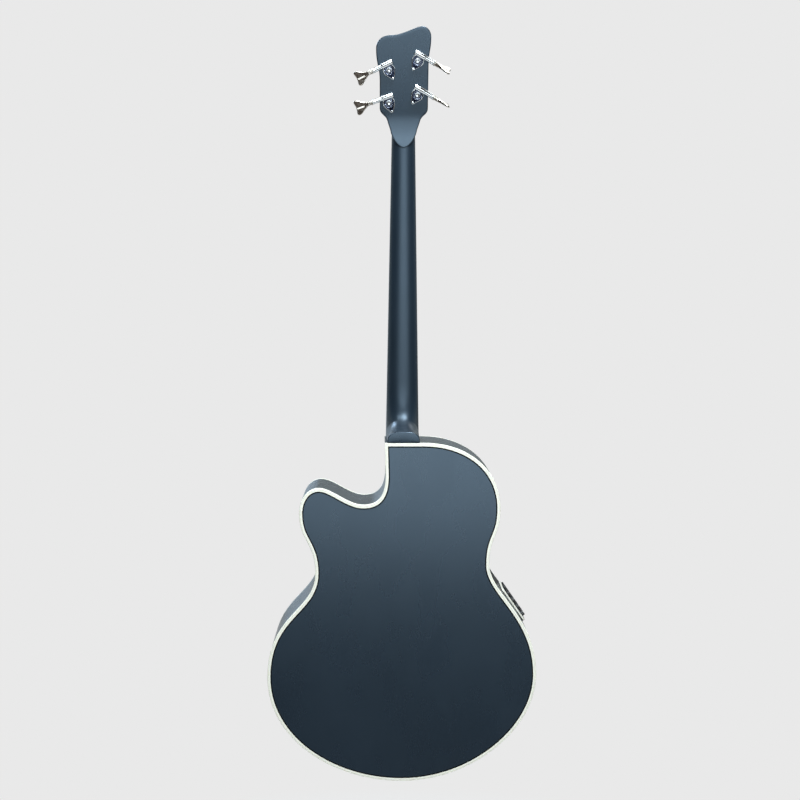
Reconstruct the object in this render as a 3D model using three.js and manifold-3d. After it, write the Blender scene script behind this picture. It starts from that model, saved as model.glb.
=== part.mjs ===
// Acoustic bass guitar with a single cutaway, in millimetres.
// The origin is the middle of the nut line, on the plane where the fretboard is glued down.
// +Z runs up the neck to the headstock, +Y out of the soundboard, and +X to the bass side.

import * as THREE from 'three';
import { mergeVertices } from 'three/addons/utils/BufferGeometryUtils.js';
import Module from 'manifold-3d';

const wasm = await Module();
wasm.setup();

// Clearances
const seam = 0.3;
const running = 0.3;
const overrun = 2;
const weld = 0.0001;

// Scale
const scaleLength = 863.6;
const octaveFrets = 12;
const joinFret = 15;
const fretCount = 21;

// Body outline, as half widths and as drops below the top edge
const bodyLength = 543;
const flatTopHalf = 34;
const bassBoutHalf = 156.2;
const bassBoutDrop = 104.8;
const bassWaistHalf = 138.7;
const bassWaistDrop = 194.8;
const bassLowerHalf = 215;
const bassLowerDrop = 371.4;
const trebleLowerHalf = 217.2;
const trebleLowerDrop = 375.3;
const trebleWaistHalf = 140.4;
const trebleWaistDrop = 208.3;
const hornHalf = 166.4;
const hornDrop = 113.2;
const hornTipOut = 134.9;
const hornTipDrop = 72.3;
const crotchOut = 64.1;
const crotchDrop = 99;
const cutawayWallOut = 28.2;
const cutawayWallDrop = 52.3;
const cutawayCornerOut = 29.7;
const outlineHandleShares = [
  [0.555, 0.62], [0.512, 0.534], [0.258, 0.538], [0.514, 0.522], [0.532, 0.576],
  [0.609, 0.37], [0.519, 0.45], [0.644, 0.515], [0.285, 0.344], [0.555, 0.826],
];
const outlineSteps = [5, 6, 6, 8, 8, 6, 6, 5, 7, 5];
const neckEndDepth = 90;
const tailEndDepth = 132;

// Body shell
const plateThickness = 3;
const sideThickness = 2.4;
const bindingWidth = 5;
const bindingHeight = 6;
const liningWidth = 6.8;
const liningHeight = 14.7;
const liningLip = 2.6;
const soundholeRadius = 50;
const soundholeSetback = 10;
const soundholeSides = 28;
const rosetteGap = 4;
const rosetteWidth = 9;
const rosetteDepth = 1.2;

// Blocks and braces
const neckBlockLength = 56;
const neckBlockBassHalf = 46;
const tailBlockHalf = 52;
const tailBlockLength = 20;
const crossDrop = 264.5;
const crossAngle = THREE.MathUtils.degToRad(42);
const crossBraceWidth = 9;
const crossBraceHeight = 15;
const crossBraceReachShares = [1.24, 1.5];
const transverseDrop = 112;
const transverseWidth = 12;
const transverseHeight = 18;
const bridgePlateHalf = 64;
const bridgePlateThickness = 2.6;
const backBraceWidth = 14;
const backBraceHeight = 16;
const backBraceShares = [0.24, 0.45, 0.69];
const backStripWidth = 18;
const backStripThickness = 2.4;

// Neck
const nutWidth = 38;
const joinWidth = 55;
const neckDepthAtNut = 15;
const neckDepthAtHeel = 18.6;
const neckRoundness = 2.25;
const heelStart = 96;
const heelCapLength = 18;
const heelCapHalf = 26;
const heelShift = 0.6;
const heelRoundness = 2.9;
const heelCapThickness = 3;
const heelHandleShares = [0.9, 0.72];
const heelCornerShare = 0.5;
const shaftSteps = 6;
const heelSteps = 12;
const neckSides = 12;
const tenonHalf = 10;
const tenonLength = 20;
const tenonTop = 22;
const tenonBottom = 68;
const tongueLength = 31;
const tongueStart = 2;
const tongueHalf = 22;
const tongueRoundness = 1.7;
const tongueTipShare = 0.08;
const tongueBend = 39.5;

// Fretboard, nut and truss rod
const boardThickness = 6.5;
const boardRadius = 305;
const boardTail = 6;
const fretWidth = 2.8;
const fretHeight = 1.2;
const nutThickness = 6;
const nutStringGap = 0.6;
const rodWidth = 6;
const rodDepth = 9;
const rodSink = 1.2;
const rodNutRadius = 3.4;
const rodNutLength = 8;
const rodTail = 20;
const pocketWidth = 13;
const pocketLength = 26;
const pocketDepth = 10.5;
const rodCoverWidth = 27;
const rodCoverLength = 40;
const rodCoverThickness = 2;

// Headstock
const headTilt = THREE.MathUtils.degToRad(14);
const headThickness = 16;
const headThroatHalf = 19.4;
const headThroatDrop = 12;
const headWaistHalf = 26.5;
const headWaistRise = 12.7;
const headShoulderHalf = 38.8;
const headShoulderRise = 33;
const headThroatShares = [0.25, 0.62];
const headShoulderShares = [0.45, 0.2];
const bassFlareRise = 100;
const trebleFlareRise = 72;
const bassCrownHalf = 42.4;
const trebleCrownHalf = 44.7;
const headLowCorner = 124;
const headLowPeak = 144.2;
const headHighCorner = 141;
const headHighPeak = 157.8;
const headLowRun = 21;
const headHighRun = 28;
const headCornerShare = 0.58;
const headOgeeShares = [0.2, 0.38];

// Strings, listed from the bass side to the treble side
const stringNames = ['e', 'a', 'd', 'g'];
const stringDiameters = [2.6, 2.1, 1.7, 1.2];
const stringTurns = [2.25, 2.25, 2.25, 2.5];
const nutSpacing = 9.8;
const saddleSpacing = 19;
const actionAtOctave = 2.6;
const windingSides = 6;
const windingSteps = 24;
const windingAir = 0.35;
const turnGap = 0.55;
const ballRadius = 3;
const ballLength = 4.5;

// Bridge
const bridgeHalf = 83;
const bridgeFront = 13;
const bridgeBack = 35;
const bridgeThickness = 9.4;
const bridgeWingThickness = 3.6;
const bridgeWingHalf = 56;
const saddleThickness = 3.4;
const saddleHalf = 43;
const saddleSeat = 5.5;
const pinSetback = 21;
const pinRadius = 2.6;
const pinHeadRadius = 4;
const pinHeadHeight = 3.4;
const pinTipShare = 0.8;
const pinCrownShare = 0.7;
const pinSides = 12;

// Tuning machines: where each post stands on the headstock, how far its worm leans down,
// and how far its key is turned from standing on edge
const bassMachineOut = 21.4;
const trebleMachineOut = 24;
const lowBassRise = 53.8;
const highBassRise = 106;
const highTrebleRise = 91.8;
const lowTrebleRise = 41.2;
const lowBassLean = THREE.MathUtils.degToRad(30);
const highBassLean = THREE.MathUtils.degToRad(29);
const highTrebleLean = THREE.MathUtils.degToRad(26.5);
const lowTrebleLean = THREE.MathUtils.degToRad(20.5);
const highBassKeyTurn = THREE.MathUtils.degToRad(15);
const gearTeeth = 20;
const gearRadius = 7.2;
const gearThickness = 2.6;
const wormRadius = 2.6;
const addendum = 0.6;
const rootClearance = 0.3;
const gearToothShare = 0.36;
const threadShare = 0.3;
const threadTurns = 2.75;
const threadSteps = 8;
const wormAxisHeight = 5.5;
const basePlateThickness = 1.6;
const rimWall = 1.3;
const rimHeight = 7.4;
const tubeWall = 1.1;
const tubeInner = 10.6;
const tubeOuter = 7.5;
const barrelRadius = 3.9;
const shaftLength = 26.5;
const collarRadius = 4.3;
const collarLength = 2.1;
const keyLength = 26.8;
const keyHalf = 11.9;
const keyStemHalf = 3.1;
const keyThickness = 5;
const keyEndShare = 0.62;
const keyBevel = 0.7;
const lugReach = 14.2;
const lugRadius = 2.4;
const lugHeight = 3.4;
const lugFallStart = 3;
const lugScrewRadius = 2;
const lugScrewHeight = 0.8;
const postRadius = 4.4;
const spoolRadius = 4.1;
const spoolLength = 13;
const postTopRadius = 5.6;
const postTopLength = 3;
const postSlotWidth = 3.2;
const postSlotDepth = 5;
const postSides = 14;
const hubScrewRadius = 3;
const hubScrewHeight = 1;
const bushingRadius = 6.3;
const bushingLength = 9;
const bushingFlangeRadius = 8.8;
const bushingFlangeThickness = 1.8;

// Side control panel with its battery bay
const panelShare = 0.53;
const panelLevel = 53;
const panelLength = 64;
const panelHeight = 48;
const panelThickness = 2.6;
const panelCorner = 4;
const chassisLength = 55;
const chassisHeight = 43;
const chassisDepth = 30;
const bayLength = 50;
const bayHeight = 18.6;
const bayDepth = 27.5;
const bayOffset = -10;
const batteryLength = 48.5;
const batteryHeight = 17.5;
const batteryDepth = 26;
const doorLength = 53;
const doorHeight = 21;
const doorThickness = 1.8;
const doorBarrelRadius = 1.3;
const doorPinRadius = 0.7;
const doorPinLength = 1.8;
const lugThickness = 2;
const knobCount = 4;
const knobPitch = 13.6;
const knobShift = 3;
const knobOffset = 11.5;
const knobRadius = 4.8;
const knobTopRadius = 4.2;
const knobHeight = 4.4;
const knobShaftRadius = 2;
const knobShaftLength = 6;
const knobFlutes = 12;
const knobFluteDepth = 0.4;
const knobPointerWidth = 0.8;
const knobPointerDepth = 0.5;

// End-pin jack
const jackLevel = 66;
const jackRadius = 6;
const jackFlangeRadius = 11;
const jackFlangeThickness = 2.4;
const jackWaistRadius = 6.6;
const jackWaistLength = 7;
const jackCapRadius = 9;
const jackCapThickness = 3;
const jackInside = 36;
const jackBoreRadius = 3.4;
const jackBoreDepth = 34;
const jackSides = 16;

// Derived levels of the body
const bodyTop = fretAt(joinFret);
const bodyTail = bodyTop - bodyLength;
const boardEnd = fretAt(fretCount) - boardTail;
const boardTop = seam + boardThickness;
const soundholeCentre = boardEnd - soundholeSetback - soundholeRadius;

function fretAt(fret) {
  return -scaleLength * (1 - 2 ** (-fret / octaveFrets));
}

// The outer face of the back: it slopes, so the body is deeper at the tail than at the neck
function backFace(z) {
  const share = (bodyTop - z) / bodyLength;
  return -THREE.MathUtils.lerp(neckEndDepth, tailEndDepth, share);
}

function aboveBack(height) {
  return (z) => backFace(z) + height;
}

function levelAt(plane, z) {
  return typeof plane === 'function' ? plane(z) : plane;
}

// Finishes
function finish(color, roughness, metalness = 0) {
  return () => new THREE.MeshStandardMaterial({ color, roughness, metalness });
}

const satinBlack = finish(0x20242a, 0.45);
const spruce = finish(0xd9bd8a, 0.7);
const ivory = finish(0xf2eedd, 0.4);
const darkWood = finish(0x2c1f18, 0.6);
const chrome = finish(0xd6d9dc, 0.15, 1);
const steel = finish(0x9a9da1, 0.35, 1);
const blackPlastic = finish(0x17181a, 0.5);
const bronze = finish(0xb98b4a, 0.35, 1);
const bone = finish(0xefe9d6, 0.5);

// Solids

function closed(geometry) {
  const bare = geometry.clone();
  bare.deleteAttribute('normal');
  bare.deleteAttribute('uv');
  const merged = mergeVertices(bare, weld);
  const corners = merged.index.array;
  const place = merged.attributes.position;
  const faces = [];
  for (let i = 0; i < corners.length; i += 3) {
    const [a, b, c] = [corners[i], corners[i + 1], corners[i + 2]];
    if (a !== b && b !== c && c !== a) faces.push([a, b, c]);
  }
  const [p, q, r] = [new THREE.Vector3(), new THREE.Vector3(), new THREE.Vector3()];
  let volume = 0;
  for (const [a, b, c] of faces) {
    p.fromBufferAttribute(place, a);
    q.fromBufferAttribute(place, b);
    r.fromBufferAttribute(place, c);
    volume += p.dot(q.cross(r));
  }
  const result = new THREE.BufferGeometry();
  result.setAttribute('position', place);
  result.setIndex(faces.flatMap(([a, b, c]) => (volume < 0 ? [a, c, b] : [a, b, c])));
  return result;
}

function solidOf(geometry) {
  const clean = closed(geometry);
  return new wasm.Manifold(new wasm.Mesh({
    numProp: 3,
    vertProperties: new Float32Array(clean.attributes.position.array),
    triVerts: new Uint32Array(clean.index.array),
  }));
}

function geometryOf(solid) {
  const mesh = solid.getMesh();
  const result = new THREE.BufferGeometry();
  result.setAttribute('position', new THREE.BufferAttribute(new Float32Array(mesh.vertProperties), 3));
  result.setIndex(new THREE.BufferAttribute(new Uint32Array(mesh.triVerts), 1));
  return result;
}

function joined(...geometries) {
  return geometryOf(geometries.map(solidOf).reduce((sum, next) => sum.add(next)));
}

function cut(geometry, ...cutters) {
  return geometryOf(cutters.map(solidOf).reduce((rest, next) => rest.subtract(next), solidOf(geometry)));
}

function common(first, second) {
  return geometryOf(solidOf(first).intersect(solidOf(second)));
}

function box(width, depth, height, x = 0, y = 0, z = 0) {
  return new THREE.BoxGeometry(width, depth, height).translate(x, y, z);
}

// A flat piece whose outline lies in X and Z, between a front and a back level in Y
function slab(points, front, back, holes = []) {
  const shape = new THREE.Shape(points);
  for (const hole of holes) shape.holes.push(new THREE.Path(hole));
  const unit = new THREE.ExtrudeGeometry(shape, { depth: 1, bevelEnabled: false });
  const place = unit.attributes.position;
  for (let i = 0; i < place.count; i += 1) {
    const z = place.getY(i);
    const y = THREE.MathUtils.lerp(levelAt(front, z), levelAt(back, z), place.getZ(i));
    place.setXYZ(i, place.getX(i), y, z);
  }
  return closed(unit);
}

// A flat end of a loft, keeping the winding of the section's own points
function endFaces(section) {
  const normal = new THREE.Vector3();
  section.forEach((point, i) => normal.add(point.clone().cross(section[(i + 1) % section.length])));
  const [x, y, z] = normal.toArray().map(Math.abs);
  let axes = ['x', 'y'];
  if (x >= y && x >= z) axes = ['y', 'z'];
  else if (y >= z) axes = ['x', 'z'];
  const flat = section.map((point) => new THREE.Vector2(point[axes[0]], point[axes[1]]));
  const turn = Math.sign(THREE.ShapeUtils.area(flat));
  return THREE.ShapeUtils.triangulateShape(flat, []).map(([a, b, c]) => {
    const side = Math.sign(THREE.ShapeUtils.area([flat[a], flat[b], flat[c]]));
    return side === turn ? [a, b, c] : [a, c, b];
  });
}

// Skins a row of sections that all have the same number of points; a ring has no ends
function loft(sections, ring = false) {
  const around = sections[0].length;
  const faces = [];
  const last = ring ? sections.length : sections.length - 1;
  for (let i = 0; i < last; i += 1) {
    const here = i * around;
    const next = ((i + 1) % sections.length) * around;
    for (let j = 0; j < around; j += 1) {
      const k = (j + 1) % around;
      faces.push(here + j, here + k, next + k, here + j, next + k, next + j);
    }
  }
  if (!ring) {
    const tail = (sections.length - 1) * around;
    endFaces(sections[0]).forEach(([a, b, c]) => faces.push(a, c, b));
    endFaces(sections.at(-1)).forEach(([a, b, c]) => faces.push(tail + a, tail + b, tail + c));
  }
  const result = new THREE.BufferGeometry().setFromPoints(sections.flat());
  result.setIndex(faces);
  return closed(result);
}

// Turned about Y; the profile is a list of [radius, height]
function turned(profile, sides) {
  return closed(new THREE.LatheGeometry(profile.map(([r, y]) => new THREE.Vector2(r, y)), sides));
}

function disc(radius, sides, x = 0, z = 0) {
  return Array.from({ length: sides }, (unused, i) => {
    const angle = (2 * Math.PI * i) / sides;
    return new THREE.Vector2(x + radius * Math.cos(angle), z + radius * Math.sin(angle));
  });
}

function rectangle(width, height, x = 0, z = 0) {
  return [[-1, -1], [1, -1], [1, 1], [-1, 1]].map(([i, j]) => (
    new THREE.Vector2(x + (i * width) / 2, z + (j * height) / 2)
  ));
}

// A tube through given points; each section stands square to the mean of the two runs that meet there
function tubeThrough(points, radii, sides) {
  const sections = [];
  let side = new THREE.Vector3(1, 0, 0);
  points.forEach((point, i) => {
    const into = i > 0 ? point.clone().sub(points[i - 1]).normalize() : null;
    const out = i < points.length - 1 ? points[i + 1].clone().sub(point).normalize() : null;
    const along = (into ?? out).clone().add(out ?? into).normalize();
    const stretch = 1 / along.dot(into ?? out);
    side = side.clone().addScaledVector(along, -side.dot(along)).normalize();
    const up = along.clone().cross(side);
    const bend = into && out ? out.clone().sub(into) : new THREE.Vector3();
    if (bend.length() > weld) bend.normalize();
    sections.push(Array.from({ length: sides }, (unused, j) => {
      const angle = (2 * Math.PI * j) / sides;
      const reach = side.clone().multiplyScalar(radii[i] * Math.cos(angle));
      reach.addScaledVector(up, radii[i] * Math.sin(angle));
      reach.addScaledVector(bend, (stretch - 1) * reach.dot(bend));
      return point.clone().add(reach);
    }));
  });
  return loft(sections);
}

// Body outline

function outlineKnots() {
  const knot = (x, drop, flat) => ({ at: new THREE.Vector2(x, bodyTop - drop), flat });
  return [
    knot(flatTopHalf, 0, true),
    knot(bassBoutHalf, bassBoutDrop, false),
    knot(bassWaistHalf, bassWaistDrop, false),
    knot(bassLowerHalf, bassLowerDrop, false),
    knot(0, bodyLength, true),
    knot(-trebleLowerHalf, trebleLowerDrop, false),
    knot(-trebleWaistHalf, trebleWaistDrop, false),
    knot(-hornHalf, hornDrop, false),
    knot(-hornTipOut, hornTipDrop, true),
    knot(-crotchOut, crotchDrop, true),
    knot(-cutawayWallOut, cutawayWallDrop, false),
  ];
}

// Cubic curves between the knots; each handle runs level or upright, for a share of the stretch
function outlineCurves() {
  const knots = outlineKnots();
  const handle = (knot, towards, share) => {
    const reach = towards.at.clone().sub(knot.at).multiplyScalar(share);
    return knot.at.clone().add(knot.flat ? reach.setY(0) : reach.setX(0));
  };
  return outlineHandleShares.map(([leave, arrive], i) => new THREE.CubicBezierCurve(
    knots[i].at,
    handle(knots[i], knots[i + 1], leave),
    handle(knots[i + 1], knots[i], arrive),
    knots[i + 1].at,
  ));
}

const curves = outlineCurves();
const rim = [new THREE.Vector2(0, bodyTop)];
let tailIndex = 0;
curves.forEach((curve, i) => {
  const points = curve.getPoints(outlineSteps[i]);
  rim.push(...(i === 0 ? points : points.slice(1)));
  if (points.at(-1).y === bodyTail) tailIndex = rim.length - 1;
});
rim.push(new THREE.Vector2(-cutawayCornerOut, bodyTop));

// Moves a line of points inwards; a closed line runs clockwise as seen from behind
function insetLine(points, inset, isClosed) {
  const rightOf = (from, to) => {
    const run = to.clone().sub(from).normalize();
    return new THREE.Vector2(run.y, -run.x);
  };
  return points.map((point, i) => {
    const last = points.length - 1;
    const before = i > 0 || isClosed ? rightOf(points[i > 0 ? i - 1 : last], point) : null;
    const after = i < last || isClosed ? rightOf(point, points[i < last ? i + 1 : 0]) : null;
    const first = before ?? after;
    const second = after ?? before;
    const mitre = first.clone().add(second).multiplyScalar(1 / (1 + first.dot(second)));
    return point.clone().addScaledVector(mitre, inset);
  });
}

function bodyOutline(inset) {
  return insetLine(rim, inset, true);
}

// Carries a section of [inset, level] pairs along a line of rim points
function alongRim(line, section, isClosed) {
  const lines = section.map(([inset]) => insetLine(line, inset, isClosed));
  const sections = line.map((unused, i) => section.map(([, level], j) => {
    const { x, y: z } = lines[j][i];
    return new THREE.Vector3(x, levelAt(level, z), z);
  }));
  return loft(sections, isClosed);
}

const root = new THREE.Group();

function piece(name, geometry, material, parent = root) {
  const mesh = new THREE.Mesh(geometry, material());
  mesh.name = name;
  parent.add(mesh);
  return mesh;
}

// Plates, rosette and bindings

const plateInset = bindingWidth + seam;
const bridgeZ = -scaleLength;
const pinZ = bridgeZ - pinSetback;
const stringCount = stringNames.length;

function stringShare(i) {
  return (stringCount - 1) / 2 - i;
}

function archDrop(x) {
  return (x * x) / (2 * boardRadius);
}

// A long hole for a bridge pin and the string in front of it
function pinHole(i, front, back) {
  const radius = pinRadius + running;
  const x = stringShare(i) * saddleSpacing;
  const reach = stringDiameters[0] + 2 * seam;
  const points = disc(radius, pinSides).map(({ x: across, y: along }) => (
    new THREE.Vector2(x + across, pinZ + along + (along > 0 ? reach : 0))
  ));
  points.splice(1, 0, new THREE.Vector2(x + radius, pinZ + reach));
  points.splice(pinSides / 2 + 2, 0, new THREE.Vector2(x - radius, pinZ));
  points[pinSides / 2 + 1].y = pinZ + reach;
  return slab(points, front, back);
}

function pinHoles(front, back) {
  return stringNames.map((unused, i) => pinHole(i, front, back));
}

function ringSlab(inner, outer, front, back) {
  const hole = disc(inner, soundholeSides, 0, soundholeCentre);
  return slab(disc(outer, soundholeSides, 0, soundholeCentre), front, back, [hole]);
}

const rosetteInner = soundholeRadius + rosetteGap;
const rosetteOuter = rosetteInner + rosetteWidth;

piece('top_plate', cut(
  slab(bodyOutline(plateInset), 0, -plateThickness, [
    disc(soundholeRadius, soundholeSides, 0, soundholeCentre),
  ]),
  ringSlab(rosetteInner - seam, rosetteOuter + seam, overrun, -rosetteDepth - seam),
  ...pinHoles(overrun, -plateThickness - overrun),
), satinBlack);
piece('rosette', ringSlab(rosetteInner, rosetteOuter, 0, -rosetteDepth), ivory);
piece('back_plate', slab(bodyOutline(plateInset), aboveBack(plateThickness), backFace), satinBlack);

piece('binding_top', alongRim(rim, [
  [0, 0], [bindingWidth, 0], [bindingWidth, -plateThickness],
  [sideThickness, -plateThickness], [sideThickness, -bindingHeight], [0, -bindingHeight],
], true), ivory);
piece('binding_back', alongRim(rim, [
  [0, backFace], [0, aboveBack(bindingHeight)], [sideThickness, aboveBack(bindingHeight)],
  [sideThickness, aboveBack(plateThickness)], [bindingWidth, aboveBack(plateThickness)],
  [bindingWidth, backFace],
], true), ivory);

// Linings under both plates

const liningInset = sideThickness + seam;
const underTop = -plateThickness - seam;
const overBack = plateThickness + seam;

function lining(grow, isFront) {
  const outer = liningInset - grow;
  const inner = liningInset + liningWidth + grow;
  const level = (height) => (isFront ? -height : aboveBack(height));
  return alongRim(rim, [
    [outer, level(overBack - grow)],
    [inner, level(overBack - grow)],
    [inner, level(overBack + liningLip + 2 * grow)],
    [outer, level(overBack + liningHeight + 4 * grow)],
  ], true);
}

piece('lining_top', lining(0, true), spruce);
piece('lining_back', lining(0, false), spruce);
const liningCutters = [lining(seam, true), lining(seam, false)];

// Side control panel: its frame stands on the bass side, below the waist

const panelCurve = curves[2];
const panelPoint = panelCurve.getPoint(panelShare);
const panelRun = panelCurve.getTangent(panelShare);
const panelGroup = new THREE.Group();
panelGroup.position.set(panelPoint.x, -panelLevel, panelPoint.y);
panelGroup.setRotationFromMatrix(new THREE.Matrix4().makeBasis(
  new THREE.Vector3(panelRun.x, 0, panelRun.y),
  new THREE.Vector3(-panelRun.y, 0, panelRun.x),
  new THREE.Vector3(0, -1, 0),
));
panelGroup.updateMatrix();
root.add(panelGroup);
const panelCutout = box(
  chassisLength + 2 * seam,
  chassisDepth,
  chassisHeight + 2 * seam,
).applyMatrix4(panelGroup.matrix);

// Bent sides; they meet at the tail and stop at the neck's tenon

const tenonEdge = tenonHalf + seam;
const sideSection = [
  [0, -bindingHeight - seam],
  [sideThickness, -bindingHeight - seam],
  [sideThickness, aboveBack(bindingHeight + seam)],
  [0, aboveBack(bindingHeight + seam)],
];
const bassRim = rim.slice(0, tailIndex + 1).map((point) => point.clone());
bassRim[0].x = tenonEdge;
bassRim.at(-1).x = seam;
const trebleRim = rim.slice(tailIndex).map((point) => point.clone());
trebleRim[0].x = -seam;
trebleRim.push(new THREE.Vector2(-tenonEdge, bodyTop));

const jackDrill = turned([
  [0, -overrun], [jackRadius + seam, -overrun], [jackRadius + seam, jackInside], [0, jackInside],
], jackSides).rotateX(Math.PI / 2).translate(0, -jackLevel, bodyTail);

piece('side_bass', cut(alongRim(bassRim, sideSection, false), panelCutout, jackDrill), satinBlack);
piece('side_treble', cut(alongRim(trebleRim, sideSection, false), jackDrill), satinBlack);

// Blocks inside the body

const cavity = slab(bodyOutline(liningInset), underTop, aboveBack(overBack));
const braceRoom = slab(bodyOutline(liningInset + liningWidth + seam), underTop, aboveBack(overBack));
const blockHeight = tailEndDepth * 2;
const blockInset = liningInset;
const neckBlockMiddle = (neckBlockBassHalf - cutawayCornerOut) / 2;
const neckBlockWidth = neckBlockBassHalf + cutawayCornerOut;
const tenonMiddle = -(tenonTop + tenonBottom) / 2;
const tenonHeight = tenonBottom - tenonTop;

const mortise = box(
  2 * tenonEdge,
  tenonHeight + 2 * seam,
  2 * (tenonLength + seam),
  0,
  tenonMiddle,
  bodyTop,
);
const neckBlockBlank = box(
  neckBlockWidth,
  blockHeight,
  neckBlockLength,
  neckBlockMiddle,
  0,
  bodyTop - blockInset - neckBlockLength / 2,
);
piece('neck_block', cut(common(cavity, neckBlockBlank), mortise, ...liningCutters), spruce);

const tailBlockBlank = box(
  2 * tailBlockHalf,
  blockHeight,
  2 * tailBlockLength,
  0,
  0,
  bodyTail + blockInset,
);
piece('tail_block', cut(common(cavity, tailBlockBlank), jackDrill, ...liningCutters), spruce);

// Soundboard braces: two bars halved across each other, one bar over the soundhole and the bridge plate

const crossZ = bodyTop - crossDrop;

function crossBar(side, grow, front, back) {
  const half = crossBraceWidth / 2 + grow;
  const upper = crossBraceReachShares[0] * bassWaistHalf;
  const lower = crossBraceReachShares[1] * bassLowerHalf;
  const points = rectangle(2 * half, upper + lower, 0, (upper - lower) / 2);
  points.forEach((point) => {
    point.rotateAround(new THREE.Vector2(), -side * crossAngle);
    point.y += crossZ;
  });
  return slab(points, front, back);
}

const crossBottom = underTop - crossBraceHeight;
const lapLevel = (underTop + crossBottom) / 2;
piece('cross_brace_bass', cut(
  common(crossBar(1, 0, underTop, crossBottom), braceRoom),
  crossBar(-1, seam, overrun, lapLevel - seam / 2),
), spruce);
piece('cross_brace_treble', cut(
  common(crossBar(-1, 0, underTop, crossBottom), braceRoom),
  crossBar(1, seam, lapLevel + seam / 2, crossBottom - overrun),
), spruce);

const wide = 2 * bassLowerHalf;
piece('transverse_brace', common(
  slab(rectangle(wide, transverseWidth, 0, bodyTop - transverseDrop), underTop, underTop - transverseHeight),
  braceRoom,
), spruce);

const bridgeMiddle = bridgeZ + (bridgeFront - bridgeBack) / 2;
piece('bridge_plate', cut(
  slab(
    rectangle(2 * bridgePlateHalf, bridgeFront + bridgeBack, 0, bridgeMiddle),
    underTop,
    underTop - bridgePlateThickness,
  ),
  ...pinHoles(overrun, -blockHeight),
), darkWood);

// Back braces, let over the centre strip

const stripTop = bodyTop - blockInset - neckBlockLength - seam;
const stripTail = bodyTail + blockInset + tailBlockLength + seam;
const stripMiddle = (stripTop + stripTail) / 2;

function backStrip(grow) {
  return slab(
    rectangle(backStripWidth + 2 * grow, stripTop - stripTail, 0, stripMiddle),
    aboveBack(overBack + backStripThickness + grow),
    aboveBack(overBack - grow),
  );
}

piece('back_strip', backStrip(0), spruce);
backBraceShares.forEach((share, i) => {
  const bar = slab(
    rectangle(wide, backBraceWidth, 0, bodyTop - share * bodyLength),
    aboveBack(overBack + backBraceHeight),
    aboveBack(overBack),
  );
  piece(`back_brace_${i + 1}`, cut(common(bar, braceRoom), backStrip(seam)), spruce);
});

// Neck: half-round sections whose flat side follows the board and then the body's end,
// and whose crown follows the back of the shaft and then the heel

function boardHalf(z) {
  return THREE.MathUtils.lerp(nutWidth, joinWidth, z / bodyTop) / 2;
}

const neckEnd = bodyTop + seam;
const heelFoot = backFace(bodyTop) + heelCapThickness + seam;
const heelTop = neckEnd + heelStart;

const heelCrown = new THREE.CubicBezierCurve(
  new THREE.Vector2(-neckDepthAtHeel, heelTop),
  new THREE.Vector2(-neckDepthAtHeel, heelTop - heelHandleShares[0] * (heelStart - heelCapLength)),
  new THREE.Vector2(heelFoot - heelHandleShares[1] * (heelFoot + neckDepthAtHeel), neckEnd + heelCapLength),
  new THREE.Vector2(heelFoot, neckEnd + heelCapLength),
);

function neckSection(half, flat, crown, shift = 0, roundness = neckRoundness) {
  return Array.from({ length: neckSides + 1 }, (unused, i) => {
    const angle = (Math.PI * i) / neckSides;
    const across = Math.sign(Math.cos(angle)) * Math.abs(Math.cos(angle)) ** (2 / roundness);
    const share = Math.abs(Math.sin(angle)) ** (2 / roundness);
    const place = flat.clone().lerp(crown, share);
    return new THREE.Vector3(half * across + shift, place.x, place.y);
  });
}

function neckSections() {
  const sections = [];
  for (let i = 0; i <= shaftSteps; i += 1) {
    const z = (heelTop * i) / shaftSteps;
    const depth = THREE.MathUtils.lerp(neckDepthAtNut, neckDepthAtHeel, i / shaftSteps);
    sections.push(neckSection(boardHalf(z), new THREE.Vector2(0, z), new THREE.Vector2(-depth, z)));
  }
  for (let i = 1; i <= heelSteps; i += 1) {
    const share = i / heelSteps;
    const crown = heelCrown.getPoint(share);
    const down = Math.min(share / heelCornerShare, 1);
    const inward = Math.max((share - heelCornerShare) / (1 - heelCornerShare), 0);
    const flat = new THREE.Vector2(heelFoot * inward, THREE.MathUtils.lerp(heelTop, neckEnd, down));
    const half = THREE.MathUtils.lerp(boardHalf(flat.y), heelCapHalf, inward);
    const roundness = THREE.MathUtils.lerp(neckRoundness, heelRoundness, inward);
    sections.push(neckSection(half, flat, crown, heelShift * inward, roundness));
  }
  return sections;
}

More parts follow.
